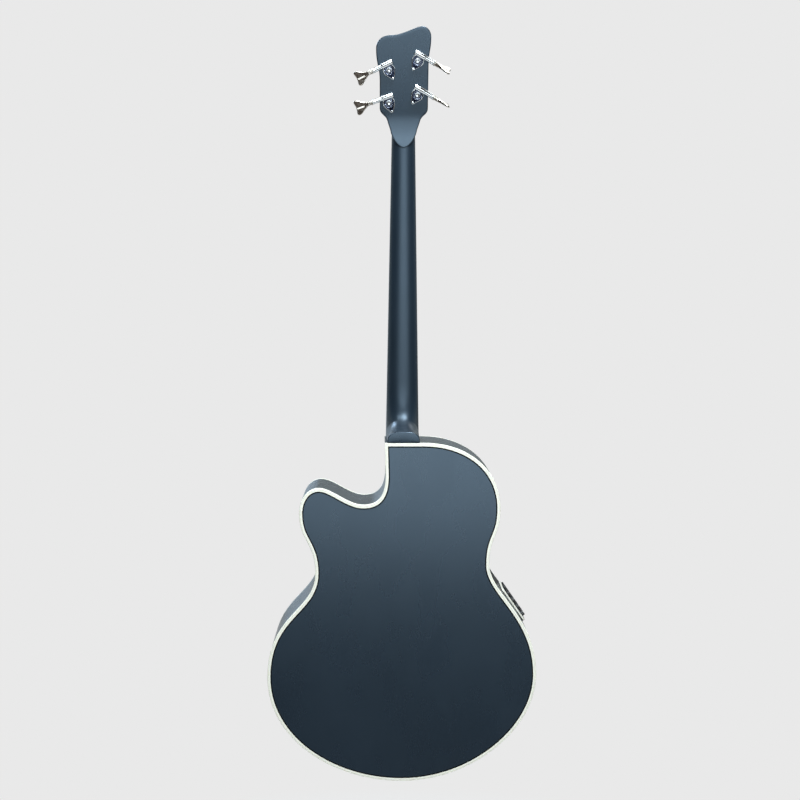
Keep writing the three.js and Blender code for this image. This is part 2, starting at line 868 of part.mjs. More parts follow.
// Headstock outline in X and along the tilted face, from the throat up
function headOutline() {
  const shape = new THREE.Shape();
  const throat = new THREE.Vector2(headThroatHalf, -headThroatDrop);
  const waist = new THREE.Vector2(headWaistHalf, headWaistRise);
  const low = throat.clone().lerp(waist, headThroatShares[0]).setX(headThroatHalf);
  const high = throat.clone().lerp(waist, headThroatShares[1]);
  const bend = THREE.MathUtils.lerp(headWaistRise, headShoulderRise, headShoulderShares[0]);
  const spread = THREE.MathUtils.lerp(headWaistHalf, headShoulderHalf, headShoulderShares[1]);
  shape.moveTo(throat.x, throat.y);
  shape.bezierCurveTo(low.x, low.y, high.x, high.y, waist.x, waist.y);
  shape.bezierCurveTo(spread, bend, headShoulderHalf, bend, headShoulderHalf, headShoulderRise);
  shape.lineTo(headShoulderHalf, bassFlareRise);
  const bassFlare = (bassFlareRise + headHighCorner) / 2;
  shape.bezierCurveTo(headShoulderHalf, bassFlare, bassCrownHalf, bassFlare, bassCrownHalf, headHighCorner);
  const highCorner = THREE.MathUtils.lerp(headHighCorner, headHighPeak, headCornerShare);
  const highRun = THREE.MathUtils.lerp(headHighRun, bassCrownHalf, headCornerShare);
  shape.bezierCurveTo(bassCrownHalf, highCorner, highRun, headHighPeak, headHighRun, headHighPeak);
  const ogee = headHighRun + headLowRun;
  const [leave, arrive] = [headHighRun - headOgeeShares[0] * ogee, headOgeeShares[1] * ogee - headLowRun];
  shape.bezierCurveTo(leave, headHighPeak, arrive, headLowPeak, -headLowRun, headLowPeak);
  const lowCorner = THREE.MathUtils.lerp(headLowCorner, headLowPeak, headCornerShare);
  const lowRun = THREE.MathUtils.lerp(headLowRun, trebleCrownHalf, headCornerShare);
  shape.bezierCurveTo(-lowRun, headLowPeak, -trebleCrownHalf, lowCorner, -trebleCrownHalf, headLowCorner);
  const trebleFlare = (trebleFlareRise + headLowCorner) / 2;
  shape.bezierCurveTo(
    -trebleCrownHalf,
    trebleFlare,
    -headShoulderHalf,
    trebleFlare,
    -headShoulderHalf,
    trebleFlareRise,
  );
  shape.lineTo(-headShoulderHalf, headShoulderRise);
  shape.bezierCurveTo(-headShoulderHalf, bend, -spread, bend, -waist.x, waist.y);
  shape.bezierCurveTo(-high.x, high.y, -low.x, low.y, -throat.x, throat.y);
  return shape.getPoints(5);
}

const headGroup = new THREE.Group();
headGroup.position.set(0, 0, nutThickness);
headGroup.rotation.x = headTilt;
headGroup.updateMatrix();
root.add(headGroup);

function onHead(geometry) {
  return geometry.clone().applyMatrix4(headGroup.matrix);
}

// The flat tongue where the headstock's back runs out onto the round of the neck. Its back bends
// out of the neck's run into the headstock's plane, and its sides follow the throat.
function tongue() {
  const steps = 8;
  const throat = headOutline().slice(4, 9).map(({ x, y }) => [x - weld, y]);
  const bendEnd = throat.at(-1)[1];
  const sides = Array.from({ length: steps + 1 }, (unused, i) => {
    const angle = (Math.PI / 2) * THREE.MathUtils.lerp(tongueTipShare, 1, i / steps);
    const half = tongueHalf * Math.sin(angle) ** (2 / tongueRoundness);
    return [half, tongueStart - tongueLength * Math.cos(angle) ** (2 / tongueRoundness)];
  });
  return onHead(loft([...sides, ...throat].map(([half, rise]) => {
    const run = bendEnd - rise;
    const bent = Math.min(run, tongueBend);
    const back = -headThickness - Math.tan(headTilt) * ((bent * bent) / (2 * tongueBend) + run - bent);
    const front = -neckDepthAtNut / 3 + Math.tan(headTilt) * Math.min(rise, 0);
    return [[half, front], [half, back], [-half, back], [-half, front]]
      .map(([x, y]) => new THREE.Vector3(x, y, rise));
  })));
}

// Tuning machine frames: X runs out along the worm, Y stands out of the headstock's back

const flat = Math.PI / 2;
const machines = [
  { name: 'e', x: bassMachineOut, rise: lowBassRise, lean: lowBassLean, keyTurn: 0 },
  { name: 'a', x: bassMachineOut, rise: highBassRise, lean: highBassLean, keyTurn: highBassKeyTurn },
  { name: 'd', x: -trebleMachineOut, rise: highTrebleRise, lean: highTrebleLean, keyTurn: flat },
  { name: 'g', x: -trebleMachineOut, rise: lowTrebleRise, lean: lowTrebleLean, keyTurn: flat },
];
machines.forEach((machine) => {
  machine.side = Math.sign(machine.x);
  const out = new THREE.Vector3(machine.side * Math.cos(machine.lean), 0, -Math.sin(machine.lean));
  const back = new THREE.Vector3(0, -1, 0);
  machine.group = new THREE.Group();
  machine.group.position.set(machine.x, -headThickness, machine.rise);
  machine.group.setRotationFromMatrix(new THREE.Matrix4().makeBasis(out, back, out.clone().cross(back)));
  machine.group.updateMatrix();
  machine.hand = -machine.side;
  headGroup.add(machine.group);
});

function bushingHole(machine) {
  const hole = slab(disc(bushingRadius + seam, postSides), headThickness + overrun, -headThickness - overrun);
  return onHead(hole.translate(machine.x, -headThickness, machine.rise));
}

const tenon = box(
  2 * tenonHalf,
  tenonHeight,
  2 * tenonLength,
  0,
  tenonMiddle,
  neckEnd,
);
const rodChannelEnd = neckEnd + rodTail;
const rodChannel = box(
  rodWidth + 2 * seam,
  2 * (rodSink + rodDepth + 2 * seam),
  pocketLength - rodChannelEnd,
  0,
  0,
  (rodChannelEnd + pocketLength) / 2,
);
const rodPocket = box(
  pocketWidth,
  2 * pocketDepth,
  pocketLength,
  0,
  0,
  pocketLength / 2 + seam,
);

function neckTenon() {
  return common(tenon, box(wide, blockHeight, 2 * tenonLength, 0, 0, neckEnd - tenonLength + overrun / 2));
}

const headSlab = onHead(slab(headOutline(), 0, -headThickness));
const frontTrim = box(
  wide,
  blockHeight,
  blockHeight,
  0,
  blockHeight / 2,
  nutThickness - blockHeight / 2,
);
piece('neck', cut(
  joined(loft(neckSections()), cut(headSlab, frontTrim), tongue(), neckTenon()),
  rodChannel,
  onHead(rodPocket),
  ...machines.map(bushingHole),
), satinBlack);

// Heel cap: a half ellipse flush with the body's back
function heelCapOutline() {
  const steps = 12;
  return Array.from({ length: steps + 1 }, (unused, i) => {
    const angle = (Math.PI * i) / steps;
    const across = Math.sign(Math.cos(angle)) * Math.abs(Math.cos(angle)) ** (2 / heelRoundness);
    const along = Math.sin(angle) ** (2 / heelRoundness);
    return new THREE.Vector2(heelCapHalf * across + heelShift, neckEnd + heelCapLength * along);
  });
}

const heelCapBack = backFace(bodyTop);
piece('heel_cap', slab(heelCapOutline(), heelCapBack + heelCapThickness, heelCapBack), satinBlack);

// Fretboard with its frets pressed in, arched across

function boardSection(z, lift) {
  const half = boardHalf(z);
  const section = [new THREE.Vector3(-half, seam, z), new THREE.Vector3(half, seam, z)];
  const acrossShares = [1, 0.4, -0.4, -1];
  acrossShares.forEach((share) => {
    const x = share * half;
    section.push(new THREE.Vector3(x, boardTop - archDrop(x) + lift, z));
  });
  return section;
}

function fretboard() {
  const sections = [boardSection(-seam, 0)];
  for (let fret = 1; fret <= fretCount; fret += 1) {
    const z = fretAt(fret);
    sections.push(boardSection(z + fretWidth / 2, 0));
    sections.push(boardSection(z, fretHeight));
    sections.push(boardSection(z - fretWidth / 2, 0));
  }
  sections.push(boardSection(boardEnd, 0));
  return loft(sections);
}

piece('fretboard', fretboard(), darkWood);

// String heights: the underside of each string over the nut and over the saddle

const nutStringLevel = boardTop + fretHeight + nutStringGap;
const saddleStringLevel = nutStringLevel + 2 * (actionAtOctave - nutStringGap);

function across(points, thickness, z) {
  const shape = new THREE.Shape(points.map(([x, y]) => new THREE.Vector2(x, y)));
  const plate = new THREE.ExtrudeGeometry(shape, { depth: thickness, bevelEnabled: false });
  return closed(plate.translate(0, 0, z));
}

// Nut: slotted for each string, as wide as the neck
function nutOutline() {
  const half = nutWidth / 2;
  const crest = (x) => nutStringLevel + stringDiameters[0] / 2 - archDrop(x);
  const points = [[-half, seam], [half, seam], [half, crest(half)]];
  stringNames.forEach((unused, i) => {
    const x = stringShare(i) * nutSpacing;
    const slotHalf = stringDiameters[i] / 2 + seam;
    const floor = nutStringLevel - archDrop(x) - seam;
    points.push(
      [x + slotHalf, crest(x)],
      [x + slotHalf, floor],
      [x - slotHalf, floor],
      [x - slotHalf, crest(x)],
    );
  });
  points.push([-half, crest(half)]);
  return points;
}

piece('nut', across(nutOutline(), nutThickness - seam, 0), bone);

// Truss rod in its channel, with the adjusting nut in the pocket behind the nut

const rodTop = nutThickness;
const rodLength = rodTop - rodChannelEnd - seam;
const rodLevel = -rodSink - seam - rodDepth / 2;
piece('truss_rod', box(
  rodWidth,
  rodDepth,
  rodLength,
  0,
  rodLevel,
  rodTop - rodLength / 2,
), steel);
const rodNutSides = 6;
const rodNut = turned([
  [0, 0], [rodNutRadius, 0], [rodNutRadius, rodNutLength], [0, rodNutLength],
], rodNutSides);
piece('truss_rod_nut', rodNut.rotateX(Math.PI / 2).translate(0, rodLevel, rodTop + seam), steel);

// Truss-rod cover: a bell-shaped plate on the headstock's face
function rodCoverOutline() {
  const half = rodCoverWidth / 2;
  const shape = new THREE.Shape();
  shape.moveTo(half, seam);
  shape.lineTo(half, rodCoverLength / 4);
  shape.bezierCurveTo(half, rodCoverLength / 2, half / 3, rodCoverLength / 2, half / 3, rodCoverLength);
  shape.lineTo(-half / 3, rodCoverLength);
  shape.bezierCurveTo(-half / 3, rodCoverLength / 2, -half, rodCoverLength / 2, -half, rodCoverLength / 4);
  shape.lineTo(-half, seam);
  return shape.getPoints(5);
}

piece('truss_rod_cover', slab(rodCoverOutline(), seam + rodCoverThickness, seam), blackPlastic, headGroup);

// Bridge, saddle and pins

function bridgePlan() {
  const steps = 28;
  const squareness = 5;
  return Array.from({ length: steps }, (unused, i) => {
    const angle = (2 * Math.PI * i) / steps;
    const x = Math.sign(Math.cos(angle)) * Math.abs(Math.cos(angle)) ** (2 / squareness);
    const z = Math.sign(Math.sin(angle)) * Math.abs(Math.sin(angle)) ** (2 / squareness);
    return new THREE.Vector2(bridgeHalf * x, bridgeMiddle + ((bridgeFront + bridgeBack) / 2) * z);
  });
}

function bridgeFace() {
  const steps = 5;
  const half = [];
  for (let i = 0; i <= steps; i += 1) {
    const share = i / steps;
    const ease = (1 - Math.cos(Math.PI * share)) / 2;
    half.push([
      THREE.MathUtils.lerp(bridgeWingHalf, bridgeHalf, share),
      seam + THREE.MathUtils.lerp(bridgeThickness, bridgeWingThickness, ease),
    ]);
  }
  const mirrored = half.map(([x, y]) => [-x, y]);
  return [[-bridgeHalf - overrun, seam], [bridgeHalf + overrun, seam],
    [bridgeHalf + overrun, seam + bridgeWingThickness], ...half.reverse(), ...mirrored,
    [-bridgeHalf - overrun, seam + bridgeWingThickness]];
}

const bridgeTop = seam + bridgeThickness;
const saddleSlot = box(
  2 * (saddleHalf + seam),
  2 * saddleSeat,
  saddleThickness + 2 * seam,
  0,
  bridgeTop,
  bridgeZ,
);
piece('bridge', cut(
  common(
    slab(bridgePlan(), bridgeTop + overrun, seam),
    across(bridgeFace(), bodyLength, bridgeMiddle - bodyLength / 2),
  ),
  saddleSlot,
  ...pinHoles(bridgeTop + overrun, -overrun),
), darkWood);

function saddleOutline() {
  const steps = 6;
  const bottom = bridgeTop - saddleSeat + seam;
  const points = [[-saddleHalf, bottom], [saddleHalf, bottom]];
  for (let i = 0; i <= steps; i += 1) {
    const x = THREE.MathUtils.lerp(saddleHalf, -saddleHalf, i / steps);
    points.push([x, saddleStringLevel - seam - archDrop(x)]);
  }
  return points;
}

piece('saddle', across(saddleOutline(), saddleThickness, bridgeZ - saddleThickness / 2), bone);

const pinTop = bridgeTop + seam;
const pinFoot = underTop - bridgePlateThickness;
stringNames.forEach((name, i) => {
  const pin = turned([
    [0, pinFoot], [pinRadius * pinTipShare, pinFoot], [pinRadius, pinTop],
    [pinHeadRadius, pinTop + pinHeadHeight / 3], [pinHeadRadius * pinCrownShare, pinTop + pinHeadHeight],
    [0, pinTop + pinHeadHeight],
  ], pinSides);
  const groove = box(
    stringDiameters[i] + 2 * seam,
    2 * blockHeight,
    pinHeadRadius,
    0,
    0,
    pinRadius + pinHeadRadius / 2,
  );
  piece(`bridge_pin_${name}`, cut(pin, groove).translate(stringShare(i) * saddleSpacing, 0, pinZ), bone);
});

// Tuning machines

const gearSpacing = gearRadius + wormRadius;
const gearOuter = gearRadius + addendum;
const gearRoot = gearRadius - addendum - rootClearance;
const toothPitch = (2 * Math.PI * gearRadius) / gearTeeth;
const threadOuter = wormRadius + addendum;
const threadRoot = wormRadius - addendum - rootClearance;
const threadHalfLength = (threadTurns * toothPitch) / 2 + toothPitch / 2;
const cavityRadius = gearOuter + 2 * running;
const tubeBore = threadOuter + running;
const tubeRadius = tubeBore + tubeWall;
const baseTop = seam + basePlateThickness;

// Gear outline with straight-sided teeth; a gap faces the worm
function gearOutline() {
  const points = [];
  const step = (2 * Math.PI) / gearTeeth;
  const crestHalf = (step * gearToothShare) / 2 - addendum / 2 / gearRadius / 2;
  const rootHalf = (step * gearToothShare) / 2 + addendum / 2 / gearRadius;
  for (let i = 0; i < gearTeeth; i += 1) {
    const middle = (i + 0.5) * step;
    [[gearRoot, -rootHalf], [gearOuter, -crestHalf], [gearOuter, crestHalf], [gearRoot, rootHalf]]
      .forEach(([radius, turn]) => points.push(new THREE.Vector2(
        radius * Math.cos(middle + turn),
        radius * Math.sin(middle + turn),
      )));
  }
  return points;
}

// Worm thread: a right-hand ridge about X, with a crest opposite the gap that faces it
function wormThread(hand) {
  const steps = Math.round(threadTurns * threadSteps);
  const crestHalf = (toothPitch * threadShare) / 4;
  const rootHalf = (toothPitch * threadShare) / 1.6;
  const sunk = threadRoot - running;
  const mesh = -hand * (Math.PI / 2);
  const sections = [];
  for (let i = 0; i <= steps; i += 1) {
    const turn = 2 * Math.PI * threadTurns * (i / steps - 0.5);
    const middle = (toothPitch * turn) / (2 * Math.PI);
    const angle = mesh + turn;
    sections.push([[-rootHalf, sunk], [-crestHalf, threadOuter], [crestHalf, threadOuter], [rootHalf, sunk]]
      .map(([x, radius]) => new THREE.Vector3(
        middle + x,
        radius * Math.cos(angle),
        radius * Math.sin(angle),
      )));
  }
  return loft(sections);
}

function alongX(geometry) {
  return geometry.clone().rotateZ(-Math.PI / 2);
}

// Outline of a round plate that narrows to a small lug
function shieldOutline(radius, tipRadius, hand) {
  const lean = Math.acos((radius - tipRadius) / lugReach);
  const points = [];
  const bigSteps = 12;
  const smallSteps = 4;
  for (let i = 0; i <= bigSteps; i += 1) {
    const angle = THREE.MathUtils.lerp(lean, 2 * Math.PI - lean, i / bigSteps) - (hand * Math.PI) / 2;
    points.push(new THREE.Vector2(radius * Math.cos(angle), radius * Math.sin(angle)));
  }
  for (let i = 0; i <= smallSteps; i += 1) {
    const angle = THREE.MathUtils.lerp(-lean, lean, i / smallSteps) - (hand * Math.PI) / 2;
    points.push(new THREE.Vector2(
      tipRadius * Math.cos(angle),
      tipRadius * Math.sin(angle) - hand * lugReach,
    ));
  }
  return points;
}

const rimRadius = cavityRadius + rimWall;
const barrelEnd = shaftLength - collarLength - running;
const tubeSides = 10;

// The rim's top is level round the gear and falls towards the lug
function rimLevel(hand) {
  return (z) => THREE.MathUtils.mapLinear(
    THREE.MathUtils.clamp(-hand * z, lugFallStart, lugReach),
    lugFallStart,
    lugReach,
    rimHeight,
    lugHeight,
  );
}

// A round rod about the worm's own axis
function wormRod(hand, radius, from, to) {
  return alongX(turned([[0, from], [radius, from], [radius, to], [0, to]], tubeSides))
    .translate(0, wormAxisHeight, hand * gearSpacing);
}

// Plate with a rim, open over the gear, and the tube and the barrel that carry the worm's shaft
function machineHousing(hand) {
  const rim = slab(shieldOutline(rimRadius, lugRadius, hand), rimLevel(hand), seam);
  const recess = slab(shieldOutline(cavityRadius, lugRadius - rimWall, hand), rimHeight + overrun, baseTop);
  const screw = slab(disc(lugScrewRadius, 8, 0, -hand * lugReach), lugHeight + lugScrewHeight, seam);
  return cut(
    joined(
      cut(rim, recess),
      wormRod(hand, tubeRadius, -tubeInner, tubeOuter),
      wormRod(hand, barrelRadius, 0, barrelEnd),
      screw,
    ),
    slab(disc(cavityRadius, 2 * tubeSides), rimHeight + overrun, baseTop),
    slab(disc(postRadius + running, postSides), baseTop + overrun, -overrun),
    wormRod(hand, tubeBore, -threadHalfLength - running, threadHalfLength + running),
    wormRod(hand, threadRoot + running, -tubeInner - overrun, barrelEnd + overrun),
  );
}

// Key outline: a stem that spreads into two round lobes with a shallow dip between them
function keyOutline() {
  const shape = new THREE.Shape();
  const [length, half, stem] = [keyLength, keyHalf, keyStemHalf];
  shape.moveTo(-collarLength / 2, stem);
  shape.lineTo(length * 0.2, stem);
  shape.bezierCurveTo(length * 0.3, stem * 1.15, length * 0.5, half * 0.56, length * 0.62, half * 0.75);
  shape.bezierCurveTo(length * 0.68, half * 0.86, length * 0.78, half, length * 0.87, half);
  shape.bezierCurveTo(length * 0.95, half, length, half * 0.9, length, half * 0.72);
  shape.bezierCurveTo(length, half * 0.5, length * 0.95, half * 0.28, length * 0.95, 0);
  shape.bezierCurveTo(length * 0.95, -half * 0.28, length, -half * 0.5, length, -half * 0.72);
  shape.bezierCurveTo(length, -half * 0.9, length * 0.95, -half, length * 0.87, -half);
  shape.bezierCurveTo(length * 0.78, -half, length * 0.68, -half * 0.86, length * 0.62, -half * 0.75);
  shape.bezierCurveTo(length * 0.5, -half * 0.56, length * 0.3, -stem * 1.15, length * 0.2, -stem);
  shape.lineTo(-collarLength / 2, -stem);
  return shape.getPoints(3);
}

// The key's wings, thick at the stem and thinner at the outer edge
function keyWings() {
  const wings = new THREE.ExtrudeGeometry(new THREE.Shape(keyOutline()), {
    depth: keyThickness,
    bevelThickness: keyBevel,
    bevelSize: keyBevel,
    bevelOffset: -keyBevel,
    bevelSegments: 1,
  }).translate(0, 0, -keyThickness / 2);
  const place = wings.attributes.position;
  for (let i = 0; i < place.count; i += 1) {
    place.setZ(i, place.getZ(i) * THREE.MathUtils.mapLinear(place.getX(i), 0, keyLength, 1, keyEndShare));
  }
  return wings.translate(shaftLength, 0, 0);
}

// Worm, shaft, collar and key in one piece
function machineKey(hand, keyTurn) {
  const shaftStart = -tubeInner + running;
  const collarStart = shaftLength - collarLength;
  const profile = [
    [0, shaftStart], [threadRoot, shaftStart], [threadRoot, collarStart],
    [collarRadius - keyBevel, collarStart], [collarRadius, collarStart + keyBevel],
    [collarRadius, shaftLength], [0, shaftLength],
  ];
  return joined(alongX(turned(profile, 8)), wormThread(hand), keyWings().rotateX(keyTurn))
    .translate(0, wormAxisHeight, hand * gearSpacing);
}

// Post with its gear: the shank runs through the headstock, the spool stands in front of it

const spoolStart = -headThickness - seam - bushingFlangeThickness - running;
const spoolEnd = spoolStart - spoolLength;
const postEnd = spoolEnd - postTopLength;

function machinePost() {
  const gearBottom = wormAxisHeight - gearThickness / 2;
  const gearTopFace = wormAxisHeight + gearThickness / 2;
  const profile = [
    [0, postEnd], [postTopRadius - keyBevel, postEnd], [postTopRadius, postEnd + keyBevel],
    [postTopRadius, spoolEnd], [spoolRadius, spoolEnd + keyBevel], [spoolRadius, spoolStart],
    [postRadius, spoolStart + keyBevel], [postRadius, gearTopFace],
    [hubScrewRadius, gearTopFace], [hubScrewRadius, gearTopFace + hubScrewHeight],
    [0, gearTopFace + hubScrewHeight],
  ];
  return cut(
    joined(turned(profile, postSides), slab(gearOutline(), gearTopFace, gearBottom)),
    box(postSlotWidth, 2 * postSlotDepth, wide, 0, postEnd, 0),
  );
}

function machineBushing() {
  const inner = postRadius + running;
  const face = -headThickness - seam;
  return turned([
    [inner, face + bushingLength], [inner, face - bushingFlangeThickness],
    [bushingFlangeRadius - keyBevel, face - bushingFlangeThickness], [bushingFlangeRadius, face],
    [bushingRadius, face], [bushingRadius, face + bushingLength], [inner, face + bushingLength],
  ], postSides);
}

machines.forEach(({ name, hand, keyTurn, group }) => {
  piece(`tuner_housing_${name}`, machineHousing(hand), chrome, group);
  piece(`tuner_key_${name}`, machineKey(hand, keyTurn), chrome, group);
  piece(`tuner_post_${name}`, machinePost(), chrome, group);
  piece(`tuner_bushing_${name}`, machineBushing(), chrome, group);
});

// Strings: each runs up out of its pin hole, over the saddle and the nut, and winds onto its post

const headFrame = headGroup.matrix.clone().invert();

function stringRoute(i) {
  const machine = machines[i];
  const radius = stringDiameters[i] / 2;
  const bridgeX = stringShare(i) * saddleSpacing;
  const nutX = stringShare(i) * nutSpacing;
  const holeZ = pinZ + pinRadius + seam + radius;
  const overSaddle = saddleStringLevel + radius - archDrop(bridgeX);
  const overNut = nutStringLevel + radius - archDrop(nutX);
  const anchor = underTop - bridgePlateThickness - seam - ballLength;
  const points = [
    new THREE.Vector3(bridgeX, anchor, holeZ),
    new THREE.Vector3(bridgeX, anchor + ballLength, holeZ),
    new THREE.Vector3(bridgeX, anchor + ballLength + seam, holeZ),
    new THREE.Vector3(bridgeX, bridgeTop + radius + 2 * seam, holeZ),
    new THREE.Vector3(bridgeX, overSaddle, bridgeZ - saddleThickness / 2),
    new THREE.Vector3(bridgeX, overSaddle, bridgeZ + saddleThickness / 2),
    new THREE.Vector3(nutX, overNut, 0),
    new THREE.Vector3(nutX, overNut, nutThickness - seam),
  ];
  const leave = points.at(-1).clone().applyMatrix4(headFrame);
  const reach = spoolRadius + radius + windingAir;
  const firstLevel = seam + bushingFlangeThickness + running + turnGap + radius;
  const centre = new THREE.Vector2(machine.x, machine.rise);
  const start = new THREE.Vector2(leave.x, leave.z);
  const toCentre = centre.clone().sub(start);
  const run = Math.sqrt(toCentre.lengthSq() - reach * reach);
  const spread = Math.asin(reach / toCentre.length());
  const heading = toCentre.clone().normalize().rotateAround(new THREE.Vector2(), machine.side * spread);
  const touch = start.clone().addScaledVector(heading, run);
  const first = touch.clone().sub(centre).angle();
  const pitch = stringDiameters[i] + turnGap;
  const steps = Math.round(stringTurns[i] * windingSteps);
  const coil = [];
  for (let step = 0; step <= steps; step += 1) {
    const turns = step / windingSteps;
    const angle = first - machine.side * 2 * Math.PI * turns;
    coil.push(new THREE.Vector3(
      centre.x + reach * Math.cos(angle),
      firstLevel + pitch * turns,
      centre.y + reach * Math.sin(angle),
    ));
  }
  const tip = coil.at(-1).clone().sub(coil.at(-2)).normalize();
  coil.push(coil.at(-1).clone().addScaledVector(tip, stringDiameters[i]));
  return { points: [...points, ...coil.map((point) => point.applyMatrix4(headGroup.matrix))], coil, radius };
}

// The least gap between a coil's own turns, measured between points half a turn or more apart
function leastCoilGap({ coil, radius }) {
  let least = Infinity;
  coil.forEach((point, i) => {
    coil.slice(i + windingSteps / 2).forEach((other) => {
      least = Math.min(least, point.distanceTo(other) - 2 * radius);
    });
  });
  return least;
}

stringNames.forEach((name, i) => {
  const route = stringRoute(i);
  const radii = route.points.map((unused, j) => (j < 2 ? ballRadius : route.radius));
  piece(`string_${name}`, tubeThrough(route.points, radii, windingSides), bronze);
  console.log(`string ${name}: least gap between its turns ${leastCoilGap(route).toFixed(2)} mm`);
});

// Side control panel

function roundedRectangle(width, height, corner) {
  const [a, b] = [width / 2, height / 2];
  const shape = new THREE.Shape();
  shape.moveTo(-a + corner, -b);
  shape.lineTo(a - corner, -b);
  shape.absarc(a - corner, -b + corner, corner, -Math.PI / 2, 0);
  shape.lineTo(a, b - corner);
  shape.absarc(a - corner, b - corner, corner, 0, Math.PI / 2);
  shape.lineTo(-a + corner, b);
  shape.absarc(-a + corner, b - corner, corner, Math.PI / 2, Math.PI);
  shape.lineTo(-a, -b + corner);
  shape.absarc(-a + corner, -b + corner, corner, Math.PI, 1.5 * Math.PI);
  return shape.getPoints(4);
}

const panelFace = seam + panelThickness;
const bayTop = bayOffset + bayHeight / 2;
const doorHingeZ = bayOffset - doorHeight / 2 - doorBarrelRadius;
const doorHingeY = panelFace + seam + doorBarrelRadius;

function doorPinHole() {
  const length = doorLength + 2 * (lugThickness + overrun);
  return alongX(turned([
    [0, -length / 2], [doorPinRadius + running, -length / 2],
    [doorPinRadius + running, length / 2], [0, length / 2],
  ], 8)).translate(0, doorHingeY, doorHingeZ);
}

function hingeLug(side) {
  const x = side * (doorLength / 2 + running + lugThickness / 2);
  const width = 2 * doorBarrelRadius;
  const top = doorHingeY + doorBarrelRadius;
  return box(lugThickness, top - seam, width, x, (top + seam) / 2, doorHingeZ);
}

function knobPlace(i) {
  return knobShift + (i - (knobCount - 1) / 2) * knobPitch;
}

// The bezel's underside is hollowed to lie on the curve of the side
function controlPanel() {
  const chassis = box(
    chassisLength,
    chassisDepth + panelThickness,
    chassisHeight,
    0,
    (panelFace + seam - chassisDepth) / 2,
    0,
  );
  const sideCurve = slab(bodyOutline(-seam), overrun, -blockHeight)
    .applyMatrix4(panelGroup.matrix.clone().invert());
  const outline = roundedRectangle(panelLength, panelHeight, panelCorner);
  const bezel = cut(slab(outline, panelFace, -panelThickness), sideCurve);
  const bay = box(bayLength, 2 * bayDepth, bayHeight, 0, panelFace, bayOffset);
  const knobHoles = Array.from({ length: knobCount }, (unused, i) => slab(
    disc(knobShaftRadius + running, 8, knobPlace(i), knobOffset),
    panelFace + overrun,
    panelFace - knobShaftLength,
  ));
  return cut(joined(bezel, chassis, hingeLug(1), hingeLug(-1)), bay, ...knobHoles, doorPinHole());
}

piece('control_panel', controlPanel(), blackPlastic, panelGroup);

piece('battery', box(
  batteryLength,
  batteryDepth,
  batteryHeight,
  0,
  panelFace - bayDepth + seam + batteryDepth / 2,
  bayOffset,
), steel, panelGroup);

function batteryDoor() {
  const rod = (radius, length) => alongX(turned([
    [0, -length / 2], [radius, -length / 2], [radius, length / 2], [0, length / 2],
  ], 12)).translate(0, doorHingeY, doorHingeZ);
  const leaf = box(
    doorLength,
    doorThickness,
    doorHeight + doorBarrelRadius,
    0,
    panelFace + seam + doorThickness / 2,
    doorHingeZ + (doorHeight + doorBarrelRadius) / 2,
  );
  return joined(leaf, rod(doorBarrelRadius, doorLength), rod(doorPinRadius, doorLength + 2 * doorPinLength));
}

piece('battery_door', batteryDoor(), blackPlastic, panelGroup);

// Knob: a fluted, slightly tapered cap with a pointer groove, on a short shaft
function controlKnob(i) {
  const bottom = panelFace + seam;
  const outline = (radius) => Array.from({ length: 2 * knobFlutes }, (unused, j) => {
    const angle = (Math.PI * j) / knobFlutes;
    const reach = radius - (j % 2) * knobFluteDepth;
    return [reach * Math.cos(angle), reach * Math.sin(angle)];
  });
  const skirt = loft([[knobRadius, bottom], [knobTopRadius, bottom + knobHeight]].map(([radius, y]) => (
    outline(radius).map(([x, z]) => new THREE.Vector3(x, y, z))
  )));
  const shaft = slab(disc(knobShaftRadius, 8), bottom + seam, panelFace - knobShaftLength + running);
  const pointer = box(
    knobPointerWidth,
    2 * knobPointerDepth,
    knobRadius,
    0,
    bottom + knobHeight,
    -knobRadius / 2,
  );
  return cut(joined(skirt, shaft), pointer).translate(knobPlace(i), 0, knobOffset);
}

for (let i = 0; i < knobCount; i += 1) {
  piece(`control_knob_${i + 1}`, controlKnob(i), blackPlastic, panelGroup);
}

// End-pin jack through the tail block: a strap button with the socket in its middle

const jackProfile = [
  [0, jackInside],
  [jackRadius, jackInside],
  [jackRadius, -seam],
  [jackFlangeRadius, -seam],
  [jackFlangeRadius, -seam - jackFlangeThickness],
  [jackWaistRadius, -seam - jackFlangeThickness],
  [jackWaistRadius, -seam - jackFlangeThickness - jackWaistLength],
  [jackCapRadius, -seam - jackFlangeThickness - jackWaistLength],
  [jackCapRadius, -seam - jackFlangeThickness - jackWaistLength - jackCapThickness],
  [0, -seam - jackFlangeThickness - jackWaistLength - jackCapThickness],
];
const jackMouth = jackProfile.at(-1)[1];
const jackBore = turned([
  [0, jackMouth + jackBoreDepth], [jackBoreRadius, jackMouth + jackBoreDepth],
  [jackBoreRadius, jackMouth - overrun], [0, jackMouth - overrun],
], jackSides);
const jackBody = cut(turned(jackProfile, jackSides), jackBore).rotateX(Math.PI / 2);
piece('end_pin_jack', jackBody.translate(0, -jackLevel, bodyTail), chrome);

export default root;
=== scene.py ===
"""Acoustic bass guitar with a single cutaway, hung by its headstock and seen from behind.

Lengths are in millimetres until a piece becomes a mesh, where they turn into metres.
The middle of the nut line is the origin, +Z runs up the neck, +Y out of the soundboard,
and +X is the bass side. A profile is a row of (distance, level) pairs.
"""

import bpy
import numpy as np
from mathutils import Matrix


